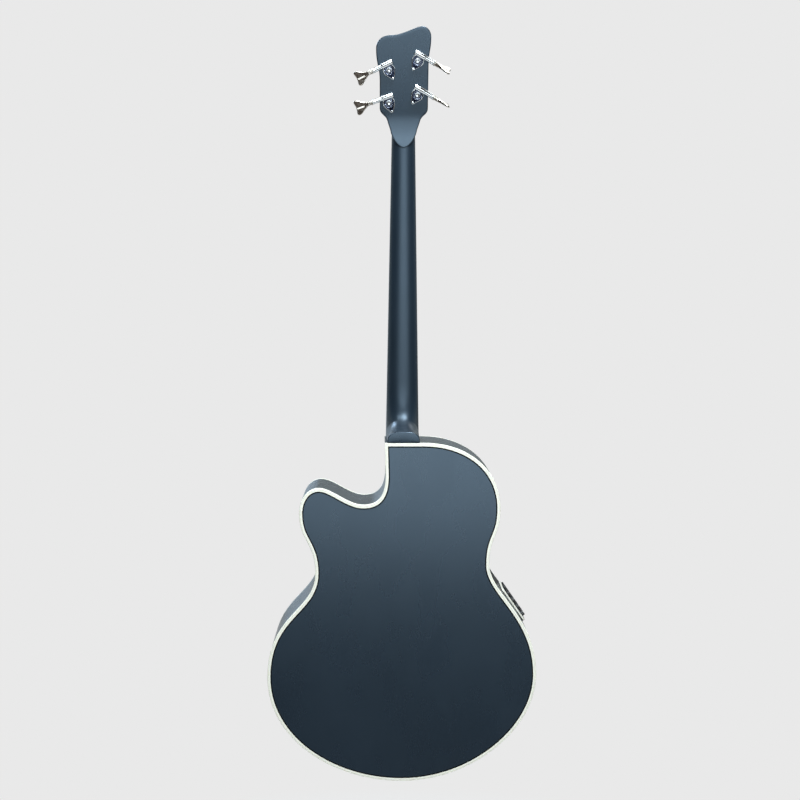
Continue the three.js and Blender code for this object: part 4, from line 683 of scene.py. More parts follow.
made("back_board", board_plate(back_level, 0.4, 1), LACQUER, "back_plate", inner=INSIDE)
made("sound_board", board_plate(0.0, HOLE_RADIUS, -1), LACQUER, "top_plate", inner=SPRUCE)
for side, line in (("bass", RIM[:TAIL + 1]), ("treble", np.vstack([RIM[TAIL:], RIM[:1]]))):
    made(f"bent_side_{side}", bent_side(line), LACQUER, f"side_{side}", inner=INSIDE)
made("edge_binding_back", binding(True), BINDING, "binding_back")
made("edge_binding_front", binding(False), BINDING, "binding_top")
made("purfling_back", purfling(True), PURFLING)
made("purfling_front", purfling(False), PURFLING)
made("rosette_rings", rosette_ring(), BINDING, "rosette")


# ---------------------------------------------------------------- neck

HEAD_TILT = np.radians(14)
HEAD_THICK = 16.0
HEAD_PLACE = np.array([0, 0, 6.0])
HEAD_AXES = np.array([
    [1, 0, 0],
    [0, np.cos(HEAD_TILT), -np.sin(HEAD_TILT)],
    [0, np.sin(HEAD_TILT), np.cos(HEAD_TILT)],
])
NECK_END = BODY_TOP + SEAT
HEEL_HIGH = 96
HEEL_DEEP = 18
HEEL_HALF = 26
HEEL_ASIDE = 0.6
HEEL_TOP = NECK_END + HEEL_HIGH
BACK_AT_NECK = float(back_level(0, BODY_TOP))
HEEL_FOOT = BACK_AT_NECK + 3.3
SHAFT_DEEP = (15.0, 18.6)


def board_half(z):
    """Half width of the neck and the board: 38 mm at the nut to 55 mm where the body starts."""
    return (38 + 17 * np.asarray(z, float) / BODY_TOP) / 2


def power_of(wave, power):
    """A wave's size to a power, with its sign kept."""
    return np.sign(wave) * np.abs(wave) ** power


def neck_rings():
    """Sections of the shaft and the heel.

    Each is half a superellipse |x/a|^n + |y/b|^n = 1 from the flat under the board to the crown, n = 2.25;
    down the heel n grows to 2.9 and the flat turns onto the body's end, while the crown follows a cubic curve.
    """
    shaft = np.linspace(0, 1, 30)
    z_shaft = HEEL_TOP * shaft
    share = np.linspace(0, 1, 61)[1:]
    end = SHAFT_DEEP[1]
    heel = on_curve([
        [-end, HEEL_TOP], [-end, HEEL_TOP - 0.9 * (HEEL_HIGH - HEEL_DEEP)],
        [HEEL_FOOT - 0.72 * (HEEL_FOOT + end), NECK_END + HEEL_DEEP], [HEEL_FOOT, NECK_END + HEEL_DEEP],
    ], share)
    down, inward = np.minimum(share / 0.5, 1), np.maximum((share - 0.5) / 0.5, 0)
    flat_z = HEEL_TOP + (NECK_END - HEEL_TOP) * down
    flat = np.vstack([np.column_stack([0 * z_shaft, z_shaft]), np.column_stack([HEEL_FOOT * inward, flat_z])])
    depth = SHAFT_DEEP[0] + (end - SHAFT_DEEP[0]) * shaft
    crown = np.vstack([np.column_stack([-depth, z_shaft]), heel])
    half = np.concatenate([board_half(z_shaft), board_half(flat_z) * (1 - inward) + HEEL_HALF * inward])
    inward = np.concatenate([0 * shaft, inward])[:, None]
    power = 2 / (2.25 + 0.65 * inward)
    angle = np.linspace(0, np.pi, 65)
    rise = np.abs(np.sin(angle)) ** power
    x = half[:, None] * power_of(np.cos(angle), power) + HEEL_ASIDE * inward
    yz = flat[:, None] * (1 - rise[..., None]) + crown[:, None] * rise[..., None]
    return np.concatenate([x[..., None], yz], -1)


def on_head(form):
    """A form moved from the headstock's own axes, with its face in the plane Y = 0, to its place."""
    return form.moved(HEAD_AXES, HEAD_PLACE)


def head_outline():
    """Outline of the headstock's back in X and along the tilted face, clockwise from the tip of its tongue.

    The tongue is |x/22|^1.7 + |(2 - z)/31|^1.7 = 1; then come throat, shoulders, a slight flare to each side,
    and a crown that is higher on the bass side.
    """
    half, bass_half, treble_half = 38.8, 42.4, 44.7
    bass_top, treble_top = 157.8, 144.2
    waist, shoulder = (26.5, 12.7), 33
    angle = np.linspace(0.02, np.pi / 2, 60)
    tongue = np.column_stack([22 * np.sin(angle) ** (2 / 1.7), 2 - 31 * np.cos(angle) ** (2 / 1.7)])
    lower = np.vstack([tongue[tongue[:, 1] < -4.5],
                       bend([(19.4, -12), (19.4, -5.8), (23.8, 3.3), waist], 30)[13:],
                       bend([waist, (29, 21.8), (half, 21.8), (half, shoulder)], 24)])
    return np.vstack([
        lower, [(half, 60), (half, 100)],
        bend([(half, 100), (half, 120.5), (bass_half, 120.5), (bass_half, 141)], 20),
        bend([(bass_half, 141), (bass_half, 150.7), (36.4, bass_top), (28, bass_top)], 20),
        bend([(28, bass_top), (18.2, bass_top), (-2.4, treble_top), (-21, treble_top)], 30),
        bend([(-21, treble_top), (-34.7, treble_top), (-treble_half, 135.7), (-treble_half, 124)], 20),
        bend([(-treble_half, 124), (-treble_half, 98), (-half, 98), (-half, 72)], 20), [(-half, 50)],
        lower[::-1] * [-1, 1],
    ])


def head_back(x, z):
    """Level of the headstock's back: 16 mm under its face, and below the throat a bend onto the shaft's line.

    With s = 23.8 - z the back falls by tan 14 x s^2 / 79 up to s = 39.5, and along a straight line beyond.
    """
    run = np.clip(23.8 - z, 0, None)
    bent = np.minimum(run, 39.5)
    return -HEAD_THICK - np.tan(HEAD_TILT) * (bent ** 2 / 79 + run - bent)


def head_front(x, z):
    """Level of the headstock's face: flat, on the shaft's line under the nut, and sunk under the tongue."""
    return np.tan(HEAD_TILT) * np.minimum(z, 0) - 4 * np.clip((-8 - z) / 6, 0, 1)


def heel_plate():
    """Heel cap: half a superellipse of power 2.9, its rim rounded so that it catches the light."""
    angle = np.linspace(0, np.pi, 49)
    outline = np.column_stack([HEEL_HALF * power_of(np.cos(angle), 2 / 2.9) + HEEL_ASIDE,
                               NECK_END + HEEL_DEEP * np.abs(np.sin(angle)) ** (2 / 2.9)])
    return soft_slab(outline, BACK_AT_NECK, BACK_AT_NECK + 3.25, radius=1.3, steps=6,
                     centre=(HEEL_ASIDE, NECK_END + 7))


tenon = block((-10, -68, NECK_END - 20), (10, -22, NECK_END + 1))
headstock = soft_slab(head_outline(), head_back, head_front, radius=1.6, steps=6, rings=26, centre=(0, 62))
made("neck_shaft", together(skinned(neck_rings()), tenon), NECK_LACQUER, "neck")
made("headstock", on_head(headstock), LACQUER)
made("heel_plate", heel_plate(), LACQUER, "heel_cap")


# ---------------------------------------------------------------- fretboard and nut

BOARD_TOP = 6.8
FRET_HIGH = 1.2
NUT_LEVEL = BOARD_TOP + FRET_HIGH + 0.6
SADDLE_LEVEL = NUT_LEVEL + 4.0
NUT_END = 5.7
NUT_PITCH, BRIDGE_PITCH = 9.8, 19
STRING_NAMES = ("e", "a", "d", "g")
STRING_WIDTHS = (2.6, 2.1, 1.7, 1.2)
STRING_TURNS = (2.25, 2.25, 2.25, 2.5)


def share_of(i):
    """A string's place across the board, counted in pitches from the middle."""
    return 1.5 - i


def arch(x):
    """Fall of the board's arched face from its middle: x^2 / (2 R), R = 305 mm."""
    return np.asarray(x, float) ** 2 / 610


def fretboard_form():
    """Board from just under the nut to past the last fret, its face following the arch."""
    z = np.linspace(-SEAT, BOARD_END, 40)
    x = board_half(z)[:, None] * np.linspace(-1, 1, 21)
    top = np.stack([x, BOARD_TOP - arch(x), z[:, None] + 0 * x], -1)
    edge = np.stack([x[:, [-1, 0]], np.full((len(z), 2), SEAT), z[:, None] + np.zeros((1, 2))], -1)
    return skinned(np.concatenate([top, edge], 1))


def fret_wires():
    """Each wire is half an ellipse 2.8 mm wide and 1.2 mm high, bent to the arch, its ends dressed at a slant."""
    share = np.linspace(-1, 1, 19)
    angle = np.linspace(0, np.pi, 9)
    dress = np.clip((1 - np.abs(share)) / 0.06, 0.25, 1)
    crown = FRET_HIGH * dress[:, None] * np.sin(angle)
    wires = []
    for z in fret_at(np.arange(1, FRETS + 1)):
        x = (board_half(z) - 0.4) * share
        rows = np.stack([x[:, None] + 0 * crown, BOARD_TOP - arch(x)[:, None] + crown - 0.02,
                         z + 1.4 * np.cos(angle) + 0 * crown], -1)
        wires.append(skinned(np.concatenate([rows, rows[:, [-1, 0]] - [0, 0.6, 0]], 1)))
    return together(*wires)


def position_dots():
    """Round inlays between the wires, and small ones on the bass edge of the board."""
    dots = []
    for fret in (3, 5, 7, 9, 12, 15, 17, 19, 21):
        z = float(fret_at(fret) + fret_at(fret - 1)) / 2
        for x in (-9.0, 9.0) if fret == 12 else (0.0,):
            face = turned([(0.0, 5.8), (3.0, 5.8), (3.0, 6.82 - arch(x)), (0.0, 6.84 - arch(x))], 24)
            edge = turned([(0.0, -0.6), (1.0, -0.6), (1.0, 0.04), (0.0, 0.05)], 16)
            edge = edge.moved([[0, 1, 0], [0, 0, 1], [1, 0, 0]], (float(board_half(z)), 3.2, z + 0.35 * x))
            dots += [face.moved(shift=(x, 0, z)), edge]
    return together(*dots)


def notched_block(half, z0, z1, bottom, crest, notches, ease=0.6):
    """Upright strip across the strings: its crest falls off towards both faces and dips where a string lies."""
    dips = [middle + np.linspace(-width, width, 9) for middle, width, _ in notches]
    x = np.unique(np.concatenate([np.linspace(-half, half, 81)] + dips))
    z = np.linspace(z0, z1, 9)
    inset = np.minimum(np.abs(z - z0), np.abs(z - z1))
    fall = ease * (1 - np.sqrt(np.clip(1 - (1 - np.clip(inset / ease, 0, 1)) ** 2, 0, 1)))
    top = crest(x)[:, None] - fall[None, :] - 0.5 * np.clip(1 - (half - np.abs(x)) / 0.8, 0, 1)[:, None] ** 2
    for middle, width, floor in notches:
        depth = np.sqrt(np.clip(1 - ((x - middle) / width) ** 2, 0, 1))
        hollow = crest(x) - depth * (crest(x) - floor)
        top = np.where((np.abs(x - middle) < width)[:, None], np.minimum(top, hollow[:, None]), top)
    upper = np.stack([np.broadcast_to(x[:, None], top.shape), top, np.broadcast_to(z, top.shape)], -1)
    lower = upper.copy()
    lower[..., 1] = bottom
    return skinned(np.concatenate([upper, lower[:, ::-1]], 1))


nut_notches = [(share_of(i) * NUT_PITCH, width / 2 + 0.25, NUT_LEVEL - arch(share_of(i) * NUT_PITCH) - 0.1)
               for i, width in enumerate(STRING_WIDTHS)]
nut = notched_block(19.0, 0.0, NUT_END, SEAT, lambda x: NUT_LEVEL + 1.3 - arch(x), nut_notches)
made("fretboard_arched", fretboard_form(), BOARD, "fretboard")
made("fret_wires", fret_wires(), FRET_METAL, crease=50)
made("position_dots", position_dots(), PEARL)
made("nut_slotted", nut, BONE, "nut")


# ---------------------------------------------------------------- bridge

BRIDGE_MIDDLE = -SCALE - 11.0
BRIDGE_HIGH = 9.4
WING_HIGH = 3.6
SADDLE_HALF = 1.7
PIN_Z = -SCALE - 21.0
PIN_RADIUS = 2.6


def bridge_form():
    """Bridge block: plan |x/83|^5 + |z/24|^5 = 1; its wings fall by half a cosine wave to 3.6 mm."""
    angle = angles(160)
    outline = np.column_stack([83 * power_of(np.cos(angle), 2 / 5),
                               BRIDGE_MIDDLE + 24 * power_of(np.sin(angle), 2 / 5)])

    def face(x, z):
        """Level of the bridge's top, which falls along its wings."""
        share = np.clip((np.abs(x) - 56) / 27, 0, 1)
        return SEAT + BRIDGE_HIGH + (WING_HIGH - BRIDGE_HIGH) * (1 - np.cos(np.pi * share)) / 2

    return soft_slab(outline, SEAT, face, radius=1.3, steps=5, rings=30, centre=(0, BRIDGE_MIDDLE))


saddle = notched_block(43.0, -SCALE - SADDLE_HALF, -SCALE + SADDLE_HALF, 4.5,
                       lambda x: SADDLE_LEVEL - 0.1 - arch(x), [], 1.2)
made("bridge_block", bridge_form(), BOARD, "bridge")
made("saddle_crowned", saddle, BONE, "saddle")
for i, name in enumerate(STRING_NAMES):
    hole = (share_of(i) * BRIDGE_PITCH, 0, PIN_Z)
    pin = turned([(0.0, -5.9), (2.1, -5.9), (PIN_RADIUS, 10.0), (PIN_RADIUS, 10.3), (3.4, 10.35), (4.0, 10.9),
                  (4.0, 11.5), (3.75, 12.3), (3.1, 12.95), (2.1, 13.3), (1.0, 13.4), (0.0, 13.4)], 40)
    eye = turned([(0.0, 13.0), (1.1, 13.0), (1.1, 13.48), (0.0, 13.5)], 24)
    made(f"bridge_pin_turned_{name}", pin.moved(shift=hole), BONE, f"bridge_pin_{name}")
    made(f"bridge_pin_dot_{name}", eye.moved(shift=hole), PEARL)


# ---------------------------------------------------------------- tuning machines

# Across and along the headstock, how far the worm leans down, and the turn of the key from standing on edge
MACHINES = {
    "e": (21.4, 53.8, np.radians(30), 0.0), "a": (21.4, 106.0, np.radians(29), np.radians(15)),
    "d": (-24.0, 91.8, np.radians(26.5), np.radians(90)), "g": (-24.0, 41.2, np.radians(20.5), np.radians(90)),
}
WORM_LEVEL = 5.5
WORM_OUT = 9.8
LUG_REACH = 14.2
COLLAR_END = 26.5
TEETH = 20
PITCH_RADIUS = 7.2
FLANGE_THICK = 1.8
POST_RADIUS = 4.1
SPOOL_START = -HEAD_THICK - SEAT - FLANGE_THICK - SEAT


def machine_place(name):
    """Turn and place of a machine: X out along its worm, Y out of the headstock's back, Z = X x Y."""
    across, rise, lean, _ = MACHINES[name]
    out = np.array([np.sign(across) * np.cos(lean), 0, -np.sin(lean)])
    back = np.array([0, -1.0, 0])
    axes = np.column_stack([out, back, np.cross(out, back)])
    return HEAD_AXES @ axes, HEAD_AXES @ np.array([across, -HEAD_THICK, rise]) + HEAD_PLACE


def along_x(form):
    """A form turned about Y laid along X."""
    return form.moved([[0, 1, 0], [-1, 0, 0], [0, 0, 1]])


def on_worm(form, hand):
    """A form moved onto the worm's axis."""
    return form.moved(shift=(0, WORM_LEVEL, hand * WORM_OUT))


def teardrop(big, small, hand, steps=40):
    """Outline of a disc and a smaller one on the side opposite the worm, with the tangents that join them."""
    lean = np.arccos((big - small) / LUG_REACH)
    wide = np.linspace(lean, 2 * np.pi - lean, steps) - hand * np.pi / 2
    tip = np.linspace(-lean, lean, steps // 3) - hand * np.pi / 2
    return np.vstack([
        np.column_stack([big * np.cos(wide), big * np.sin(wide)]),
        np.column_stack([small * np.cos(tip), small * np.sin(tip) - hand * LUG_REACH]),
    ])


def machine_rim(hand):
    """Rim that follows the plate's teardrop outline and falls towards the lug, with the foot under the worm."""
    outer, inner = (clockwise(teardrop(big, small, hand)) for big, small in ((9.7, 2.4), (8.45, 1.15)))
    middle, half = (outer + inner) / 2, (outer - inner) / 2
    low = np.clip((-hand * middle[:, 1] - 3) / 11.2, 0, 1)
    top = 7.4 - 4.0 * low ** 1.15
    crest = [at_level(middle + half * np.cos(angle), top - 0.55 + 0.55 * np.sin(angle))
             for angle in np.linspace(0, np.pi, 11)]
    foot = soft_slab(np.array([(-7.4, 8.8), (7.0, 8.8), (7.0, 12.4), (-7.4, 12.4)]) * [1, hand],
                     SEAT, 2.0, radius=0.5, steps=3)
    return together(hooped([at_level(outer, 0.35), *crest, at_level(inner, 0.35)]), foot)


def worm_tube():
    """Tube over the worm, stepping down to the barrel that carries the key's shaft past the headstock's edge."""
    profile = [(0, -10.6), (3.4, -10.6), (4.6, -10.0), (4.6, 6.9), (3.95, 7.6), (3.75, 8.3), (3.75, 21.6),
               (3.95, 22.0), (3.95, 23.6), (3.6, 24.1), (0, 24.1)]
    return along_x(turned(softened(profile, [0, 0.4, 0.5, 0.5, 0.3, 0.3, 0.2, 0.2, 0.3, 0.2, 0], 3), 56))


def worm_screw(hand):
    """Worm: a core with one right-hand ridge, r = 1.7 + 1.4 (0.5 + 0.5 cos(a - a0 - 2 pi x / p))^2.

    Its lead p is the wheel's pitch, 2 pi x 7.2 / 20 = 2.26 mm.
    """
    x = np.linspace(-4.4, 4.4, 89)[:, None]
    angle = angles(40)[None, :]
    lead = 2 * np.pi * PITCH_RADIUS / TEETH
    phase = angle + hand * np.pi / 2 - 2 * np.pi * x / lead
    fade = np.clip((4.2 - np.abs(x)) / 1.1, 0, 1)
    radius = 1.7 + 1.4 * fade * (0.5 + 0.5 * np.cos(phase)) ** 2
    return skinned(np.stack([x + 0 * radius, radius * np.cos(angle), radius * np.sin(angle)], -1))


def key_outline():
    """Outline of the key along and across the shaft: from the stem by a concave flank to a round lobe, twice."""
    half = np.vstack([
        [(-0.6, 3.1), (2.5, 3.1)], bend([(2.5, 3.1), (4.2, 3.1), (5.4, 3.15)], 4),
        bend([(5.4, 3.15), (8.0, 3.6), (13.4, 6.5), (16.6, 8.9)], 14),
        bend([(16.6, 8.9), (18.2, 10.2), (20.9, 11.9), (23.3, 11.9)], 12),
        bend([(23.3, 11.9), (25.5, 11.9), (26.8, 10.7), (26.8, 8.6)], 12),
        bend([(26.8, 8.6), (26.8, 6.0), (25.4, 3.4), (25.4, 0)], 12),
    ])
    return np.vstack([half, half[-2::-1] * [1, -1]])


def machine_key(hand, key_turn):
    """Collar and key: 3.2 mm to each side of its middle plane at the stem, 2 mm at the lobes, dished between."""
    end = COLLAR_END
    profile = [(0, end - 4), (1.9, end - 4), (1.9, end - 2.1), (3.9, end - 2.1), (4.3, end - 1.7),
               (4.3, end - 0.4), (3.9, end), (0, end)]
    collar = along_x(turned(softened(profile, [0, 0.1, 0.1, 0.2, 0.25, 0.25, 0.2, 0], 3), 48))

    def thick(u, w):
        """Half the key's thickness along and across it: a taper, a dish over the lobes and a low rib."""
        taper = np.interp(u, [0, 8, 20, 27], [3.2, 3.0, 2.8, 2.5])
        w = hand * w
        lobes = 0.085 * np.maximum(w, 0) + 0.35 * np.exp(-((w + 2.2) / 1.3) ** 2) + 0.03 * np.minimum(w + 3, 0)
        return taper - (1 - lobes) * np.clip((u - 5) / 7, 0, 1)

    blade = soft_slab(key_outline(), lambda u, w: -thick(u, w), thick, radius=1.2, steps=6, rings=22,
                      centre=(16, 0)).moved(shift=(end, 0, 0))
    cosine, sine = np.cos(key_turn - np.pi / 2), np.sin(key_turn - np.pi / 2)
    return together(collar, blade.moved([[1, 0, 0], [0, cosine, -sine], [0, sine, cosine]]))


def gear_wheel():
    """Wheel whose radius follows a wave flattened at crest and root, 7.05 + 0.7 tanh(2.4 cos 20 a) / tanh 2.4."""
    angle = angles(16 * TEETH)
    radius = 7.05 + 0.7 * np.tanh(2.4 * np.cos(TEETH * (angle - np.pi / TEETH))) / np.tanh(2.4)
    dish = [(share, 5.75 + 0.95 * np.cos(2 * np.pi * (share - 0.93) / 0.5))
            for share in np.linspace(0.92, 0.43, 15)]
    return skinned([round_row(share * radius, angle, level)
                    for share, level in [(0.97, 4.2), (1.0, 4.4), (1.0, 6.6), (0.97, 6.75)] + dish])


def machine_post():
    """Hub screw, shank, and the spool with its waist and flared top."""
    end = SPOOL_START - 13
    profile = [(0, end - 3), (5.0, end - 3), (5.6, end - 2.4), (5.6, end - 0.5), (4.4, end + 0.6),
               (POST_RADIUS, end + 2.0), (POST_RADIUS, SPOOL_START - 1.5), (4.5, SPOOL_START - 0.2),
               (4.4, SPOOL_START + 0.6), (4.4, 6.0), (2.9, 6.0), (2.9, 7.4), (2.5, 7.7), (1.5, 7.2), (0, 7.0)]
    return turned(softened(profile, 0.5, 3), 48)


def machine_bushing():
    """Bushing through the headstock with a flange of six soft flats."""
    angle = angles(96)
    six = 8.8 - 0.55 * (1 - np.abs(np.cos(3 * angle)) ** 0.7)
    return hooped([round_row(radius, angle, level) for radius, level in (
        (4.8, -7.3), (4.8, -17.8), (5.2, -18.1), (7.4, -18.1), (six, -17.5), (six, -16.25), (6.3, -16.25),
        (6.3, -7.3))])


for name, (across, _, _, key_turn) in MACHINES.items():
    hand = -np.sign(across)
    turn, shift = machine_place(name)
    lug = (0, 0, -hand * LUG_REACH)
    # The plate's near-black finish is painted shade in the recess under the rim.
    plate = soft_slab(teardrop(9.3, 2.0, hand), SEAT, 1.9, radius=0.3, steps=3, centre=(0, -hand * 3))
    screw = turned(softened([(0, 1.0), (2.1, 1.0), (2.1, 3.6), (1.5, 4.1), (0, 4.3)], [0, 0, 0.5, 0.5, 0]), 32)
    screw_slit = block((-0.35, 3.4, -3), (0.35, 5.2, 3))
    wheel_space = turned([(0, 1.0), (8.3, 1.0), (8.3, 8.2), (0, 8.2)], 64)
    worm_space = along_x(turned([(0, -4.6), (3.4, -4.6), (3.4, 4.6), (0, 4.6)], 40))
    spool_slot = block((-1.6, SPOOL_START - 18, -9), (1.6, SPOOL_START - 11, 9))
    hub_slit = block((-0.45, 7.2, -4), (0.45, 9, 4))
    for label, form, finish, node, body, cutters in (
            ("machine_rim", machine_rim(hand), CHROME, "housing", "", ()),
            ("machine_plate", plate, RECESS_SHADE_PLATE, "", "", ()),
            ("worm_tube", on_worm(worm_tube(), hand), CHROME, "", "", (wheel_space, on_worm(worm_space, hand))),
            ("machine_screw", screw.moved(shift=lug), CHROME, "", "", (screw_slit.moved(shift=lug),)),
            ("machine_key", on_worm(machine_key(hand, key_turn), hand), NICKEL, "key", "key", ()),
            ("machine_worm", on_worm(worm_screw(hand), hand), GEAR_METAL, "", "key", ()),
            ("machine_post", machine_post(), CHROME, "post", "post", (spool_slot, hub_slit)),
            ("machine_gear", gear_wheel(), GEAR_METAL, "", "post", ()),
            ("machine_bushing", machine_bushing(), CHROME, "bushing", "", ())):
        piece = made(f"{label}_{name}", form.moved(turn, shift), finish, f"tuner_{node}_{name}" if node else (),
                     body=f"{body}_{name}" if body else "instrument")
        if cutters:
            carved(piece, *(cutter.moved(turn, shift) for cutter in cutters))


# ---------------------------------------------------------------- strings

BALL_LEVEL = -10.7
WINDING_GAP = 0.55


def string_route(i):
    """Centre line of a string: up out of its pin hole, over the saddle and the nut, and round its post in a helix.

    It gives the points and the place among them where the string leaves for its post.
    """
    out, rise = MACHINES[STRING_NAMES[i]][:2]
    side = np.sign(out)
    radius = STRING_WIDTHS[i] / 2
    x_bridge, x_nut = share_of(i) * BRIDGE_PITCH, share_of(i) * NUT_PITCH
    hole_z = PIN_Z + PIN_RADIUS + SEAT + radius
    over_saddle = SADDLE_LEVEL + radius - arch(x_bridge)
    over_nut = NUT_LEVEL + radius - arch(x_nut)
    corners = np.array([
        [x_bridge, BALL_LEVEL, hole_z], [x_bridge, 10.3 + radius, hole_z],
        [x_bridge, over_saddle, -SCALE - SADDLE_HALF], [x_bridge, over_saddle, -SCALE + SADDLE_HALF],
        [x_nut, over_nut, 0.0], [x_nut, over_nut, NUT_END],
    ])
    start = ((corners[-1] - HEAD_PLACE) @ HEAD_AXES)[[0, 2]]
    centre = np.array([out, rise])
    reach = POST_RADIUS + radius + 0.35
    distance = np.linalg.norm(centre - start)
    heading = (centre - start) / distance
    swing = side * np.arcsin(reach / distance)
    heading = np.array([heading[0] * np.cos(swing) - heading[1] * np.sin(swing),
                        heading[0] * np.sin(swing) + heading[1] * np.cos(swing)])
    touch = start + heading * np.sqrt(distance ** 2 - reach ** 2)
    first = np.arctan2(*(touch - centre)[::-1])
    turns = np.linspace(0, STRING_TURNS[i], int(STRING_TURNS[i] * 40) + 1)
    angle = first - side * 2 * np.pi * turns
    level = SEAT + FLANGE_THICK + SEAT + WINDING_GAP + radius + (STRING_WIDTHS[i] + WINDING_GAP) * turns
    coil = np.column_stack([centre[0] + reach * np.cos(angle), level, centre[1] + reach * np.sin(angle)])
    tail = coil[-1] + unit(coil[-1] - coil[-2]) * STRING_WIDTHS[i]
    coil = np.vstack([coil, tail]) @ HEAD_AXES.T + HEAD_PLACE
    eased = softened(corners, [0, 1.2, 1.2, 1.2, 1.5, 1.5], 5)
    long_run = eased[np.concatenate([[True], np.linalg.norm(np.diff(eased, axis=0), axis=1) > 0.02])]
    straight = corners[-1] + (coil[0] - corners[-1]) * np.linspace(0, 1, 12)[:, None]
    return np.vstack([long_run, straight[1:-1], coil]), len(long_run) + 6


for i, name in enumerate(STRING_NAMES):
    route, change = string_route(i)
    weight = np.clip((np.arange(len(route)) - change + 3) / 6, 0, 1)[:, None]
    aside = unit(np.cross(unit(np.gradient(route, axis=0)), HEAD_AXES[:, 1]))
    aside *= np.sign(aside[change, 0])
    lean = np.array([1.0, 0, 0]) * (1 - weight) + aside * weight
    wire = tube(route, STRING_WIDTHS[i] / 2, 14, lean)
    made(f"wound_string_{name}", wire, WOUND, f"string_{name}")
    ball = turned(softened([(0, 0), (3, 0), (3, 4.5), (0, 4.5)], 0.8), 24)
    made(f"string_ball_{name}", ball.moved(shift=route[0]), STEEL)


# ---------------------------------------------------------------- truss-rod cover

def rod_cover():
    """Bell-shaped cover with a rounded rim: 27 mm wide over the nut and 9 mm at its end."""
    foot, tip = 13.5, 4.5
    half = np.vstack([[(foot, 0.35), (foot, 10)], bend([(foot, 10), (foot, 20), (tip, 20), (tip, 40)], 24)])
    return soft_slab(np.vstack([half, half[::-1] * [-1, 1]]), SEAT, 2.3, radius=0.5, steps=3, rings=2,
                     centre=(0, 12))


made("rod_cover_bell", on_head(rod_cover()), COVER, "truss_rod_cover")
for k, (x, z) in enumerate(((-9.5, 4.0), (9.5, 4.0), (0.0, 36.0))):
    head = turned(softened([(0, 2.0), (1.7, 2.0), (1.7, 2.6), (0, 3.0)], [0, 0, 0.4, 0]), 28)
    head = on_head(head.moved(shift=(x, 0, z)))
    cover_screw = made(f"rod_cover_screw_{k + 1}", head, CHROME)
    carved(cover_screw, *(on_head(block((x - a, 2.65, z - b), (x + a, 4, z + b)))
                          for a, b in ((0.25, 1.1), (1.1, 0.25))))


# ---------------------------------------------------------------- control panel

KNOB_ROW = 11.5
KNOB_PLACES = [(k + 1, 3 + (k - 1.5) * 13.6) for k in range(4)]
HINGE = (0, 4.5, -21.8)


def on_panel(form):
    """A form moved from the panel's own axes, with Y out of the side, to its place."""
    return form.moved(PANEL_AXES.T, PANEL_PLACE)


def rounded_rectangle(width, height, corner, x=0.0, z=0.0):
    """Outline with quarter circles at its corners, its middle at x and z."""
    angle = np.linspace(0, np.pi / 2, 10)
    return np.vstack([np.column_stack([x + a * (width / 2 - corner) + corner * np.cos(angle + k * np.pi / 2),
                                       z + b * (height / 2 - corner) + corner * np.sin(angle + k * np.pi / 2)])
                      for k, (a, b) in enumerate(((1, 1), (-1, 1), (-1, -1), (1, -1)))])


PANEL_EDGE = clockwise(rounded_rectangle(64, 48, 4))


def panel_bezel():
    """Lip of the panel: a soft-edged frame whose face stands 2.95 mm over the side, open over the battery bay."""
    hole = clockwise(rounded_rectangle(50, 18.6, 1.5, 0, -10))
    lip = [at_level(drawn_in(PANEL_EDGE, inset), level)
           for inset, level in ((0, -3.4), (0, 1.6), (0.35, 2.45), (1.2, 2.95))]
    return hooped(lip + [at_level(hole, 2.95), at_level(hole, 0.5)])


def panel_painted_highlight():
    """Cream band round the bezel's wall, 2.65 mm high, clear of the side by 0.45 mm: a painted highlight along the
    bezel's edge.
    """
    return hooped([at_level(drawn_in(PANEL_EDGE, inset), level) for inset, level in (
        (0.2, 0.45), (-0.3, 0.45), (-0.35, 0.7), (-0.35, 2.75), (-0.2, 3.0), (0.1, 3.1), (0.8, 3.1), (1.0, 2.7))])


def panel_ticks():
    """Marks every 45 degrees round the lower side of each knob's turn."""
    marks = []
    for _, x in KNOB_PLACES:
        for angle in np.radians(np.arange(-135, 136, 45)):
            turn = np.array([[np.cos(angle), 0, np.sin(angle)], [0, 1, 0], [-np.sin(angle), 0, np.cos(angle)]])
            marks.append(block((-0.16, 2.7, 5.5), (0.16, 3.02, 6.3)).moved(turn, (x, 0, KNOB_ROW)))
    return together(*marks)


def control_knob():
    """Knob: a skirt of 24 flutes, r = r0 - 0.11 (1 - cos 24 a), narrowing to a dished top."""
    angle = angles(192)
    flute = 0.11 * (1 - np.cos(24 * angle))
    return skinned([round_row(radius - share * flute, angle, level) for radius, level, share in (
        (1.8, -2.5, 0), (1.8, 3.2, 0), (4.75, 3.25, 0.2), (4.8, 3.5, 1), (4.3, 6.9, 1),
        (4.1, 7.35, 0.5), (3.7, 7.55, 0), (3.2, 7.5, 0), (2.6, 7.25, 0), (1.0, 7.1, 0))])


def battery_door():
    """Door leaf with three grip ridges, and its hinge barrel."""
    leaf = soft_slab(rounded_rectangle(53, 21.6, 1.6, 0, -10.3), 3.2, 5.0, radius=0.5, steps=3)
    grips = [soft_slab(rounded_rectangle(14, 1.1, 0.5, 0, z), 4.8, 5.45, radius=0.25, steps=3)
             for z in (-3.2, -5.2, -7.2)]
    half = 26.5
    barrel = along_x(turned(softened([(0, -half), (1.3, -half), (1.3, half), (0, half)], 0.3), 24))
    return together(leaf, *grips, barrel.moved(shift=HINGE))


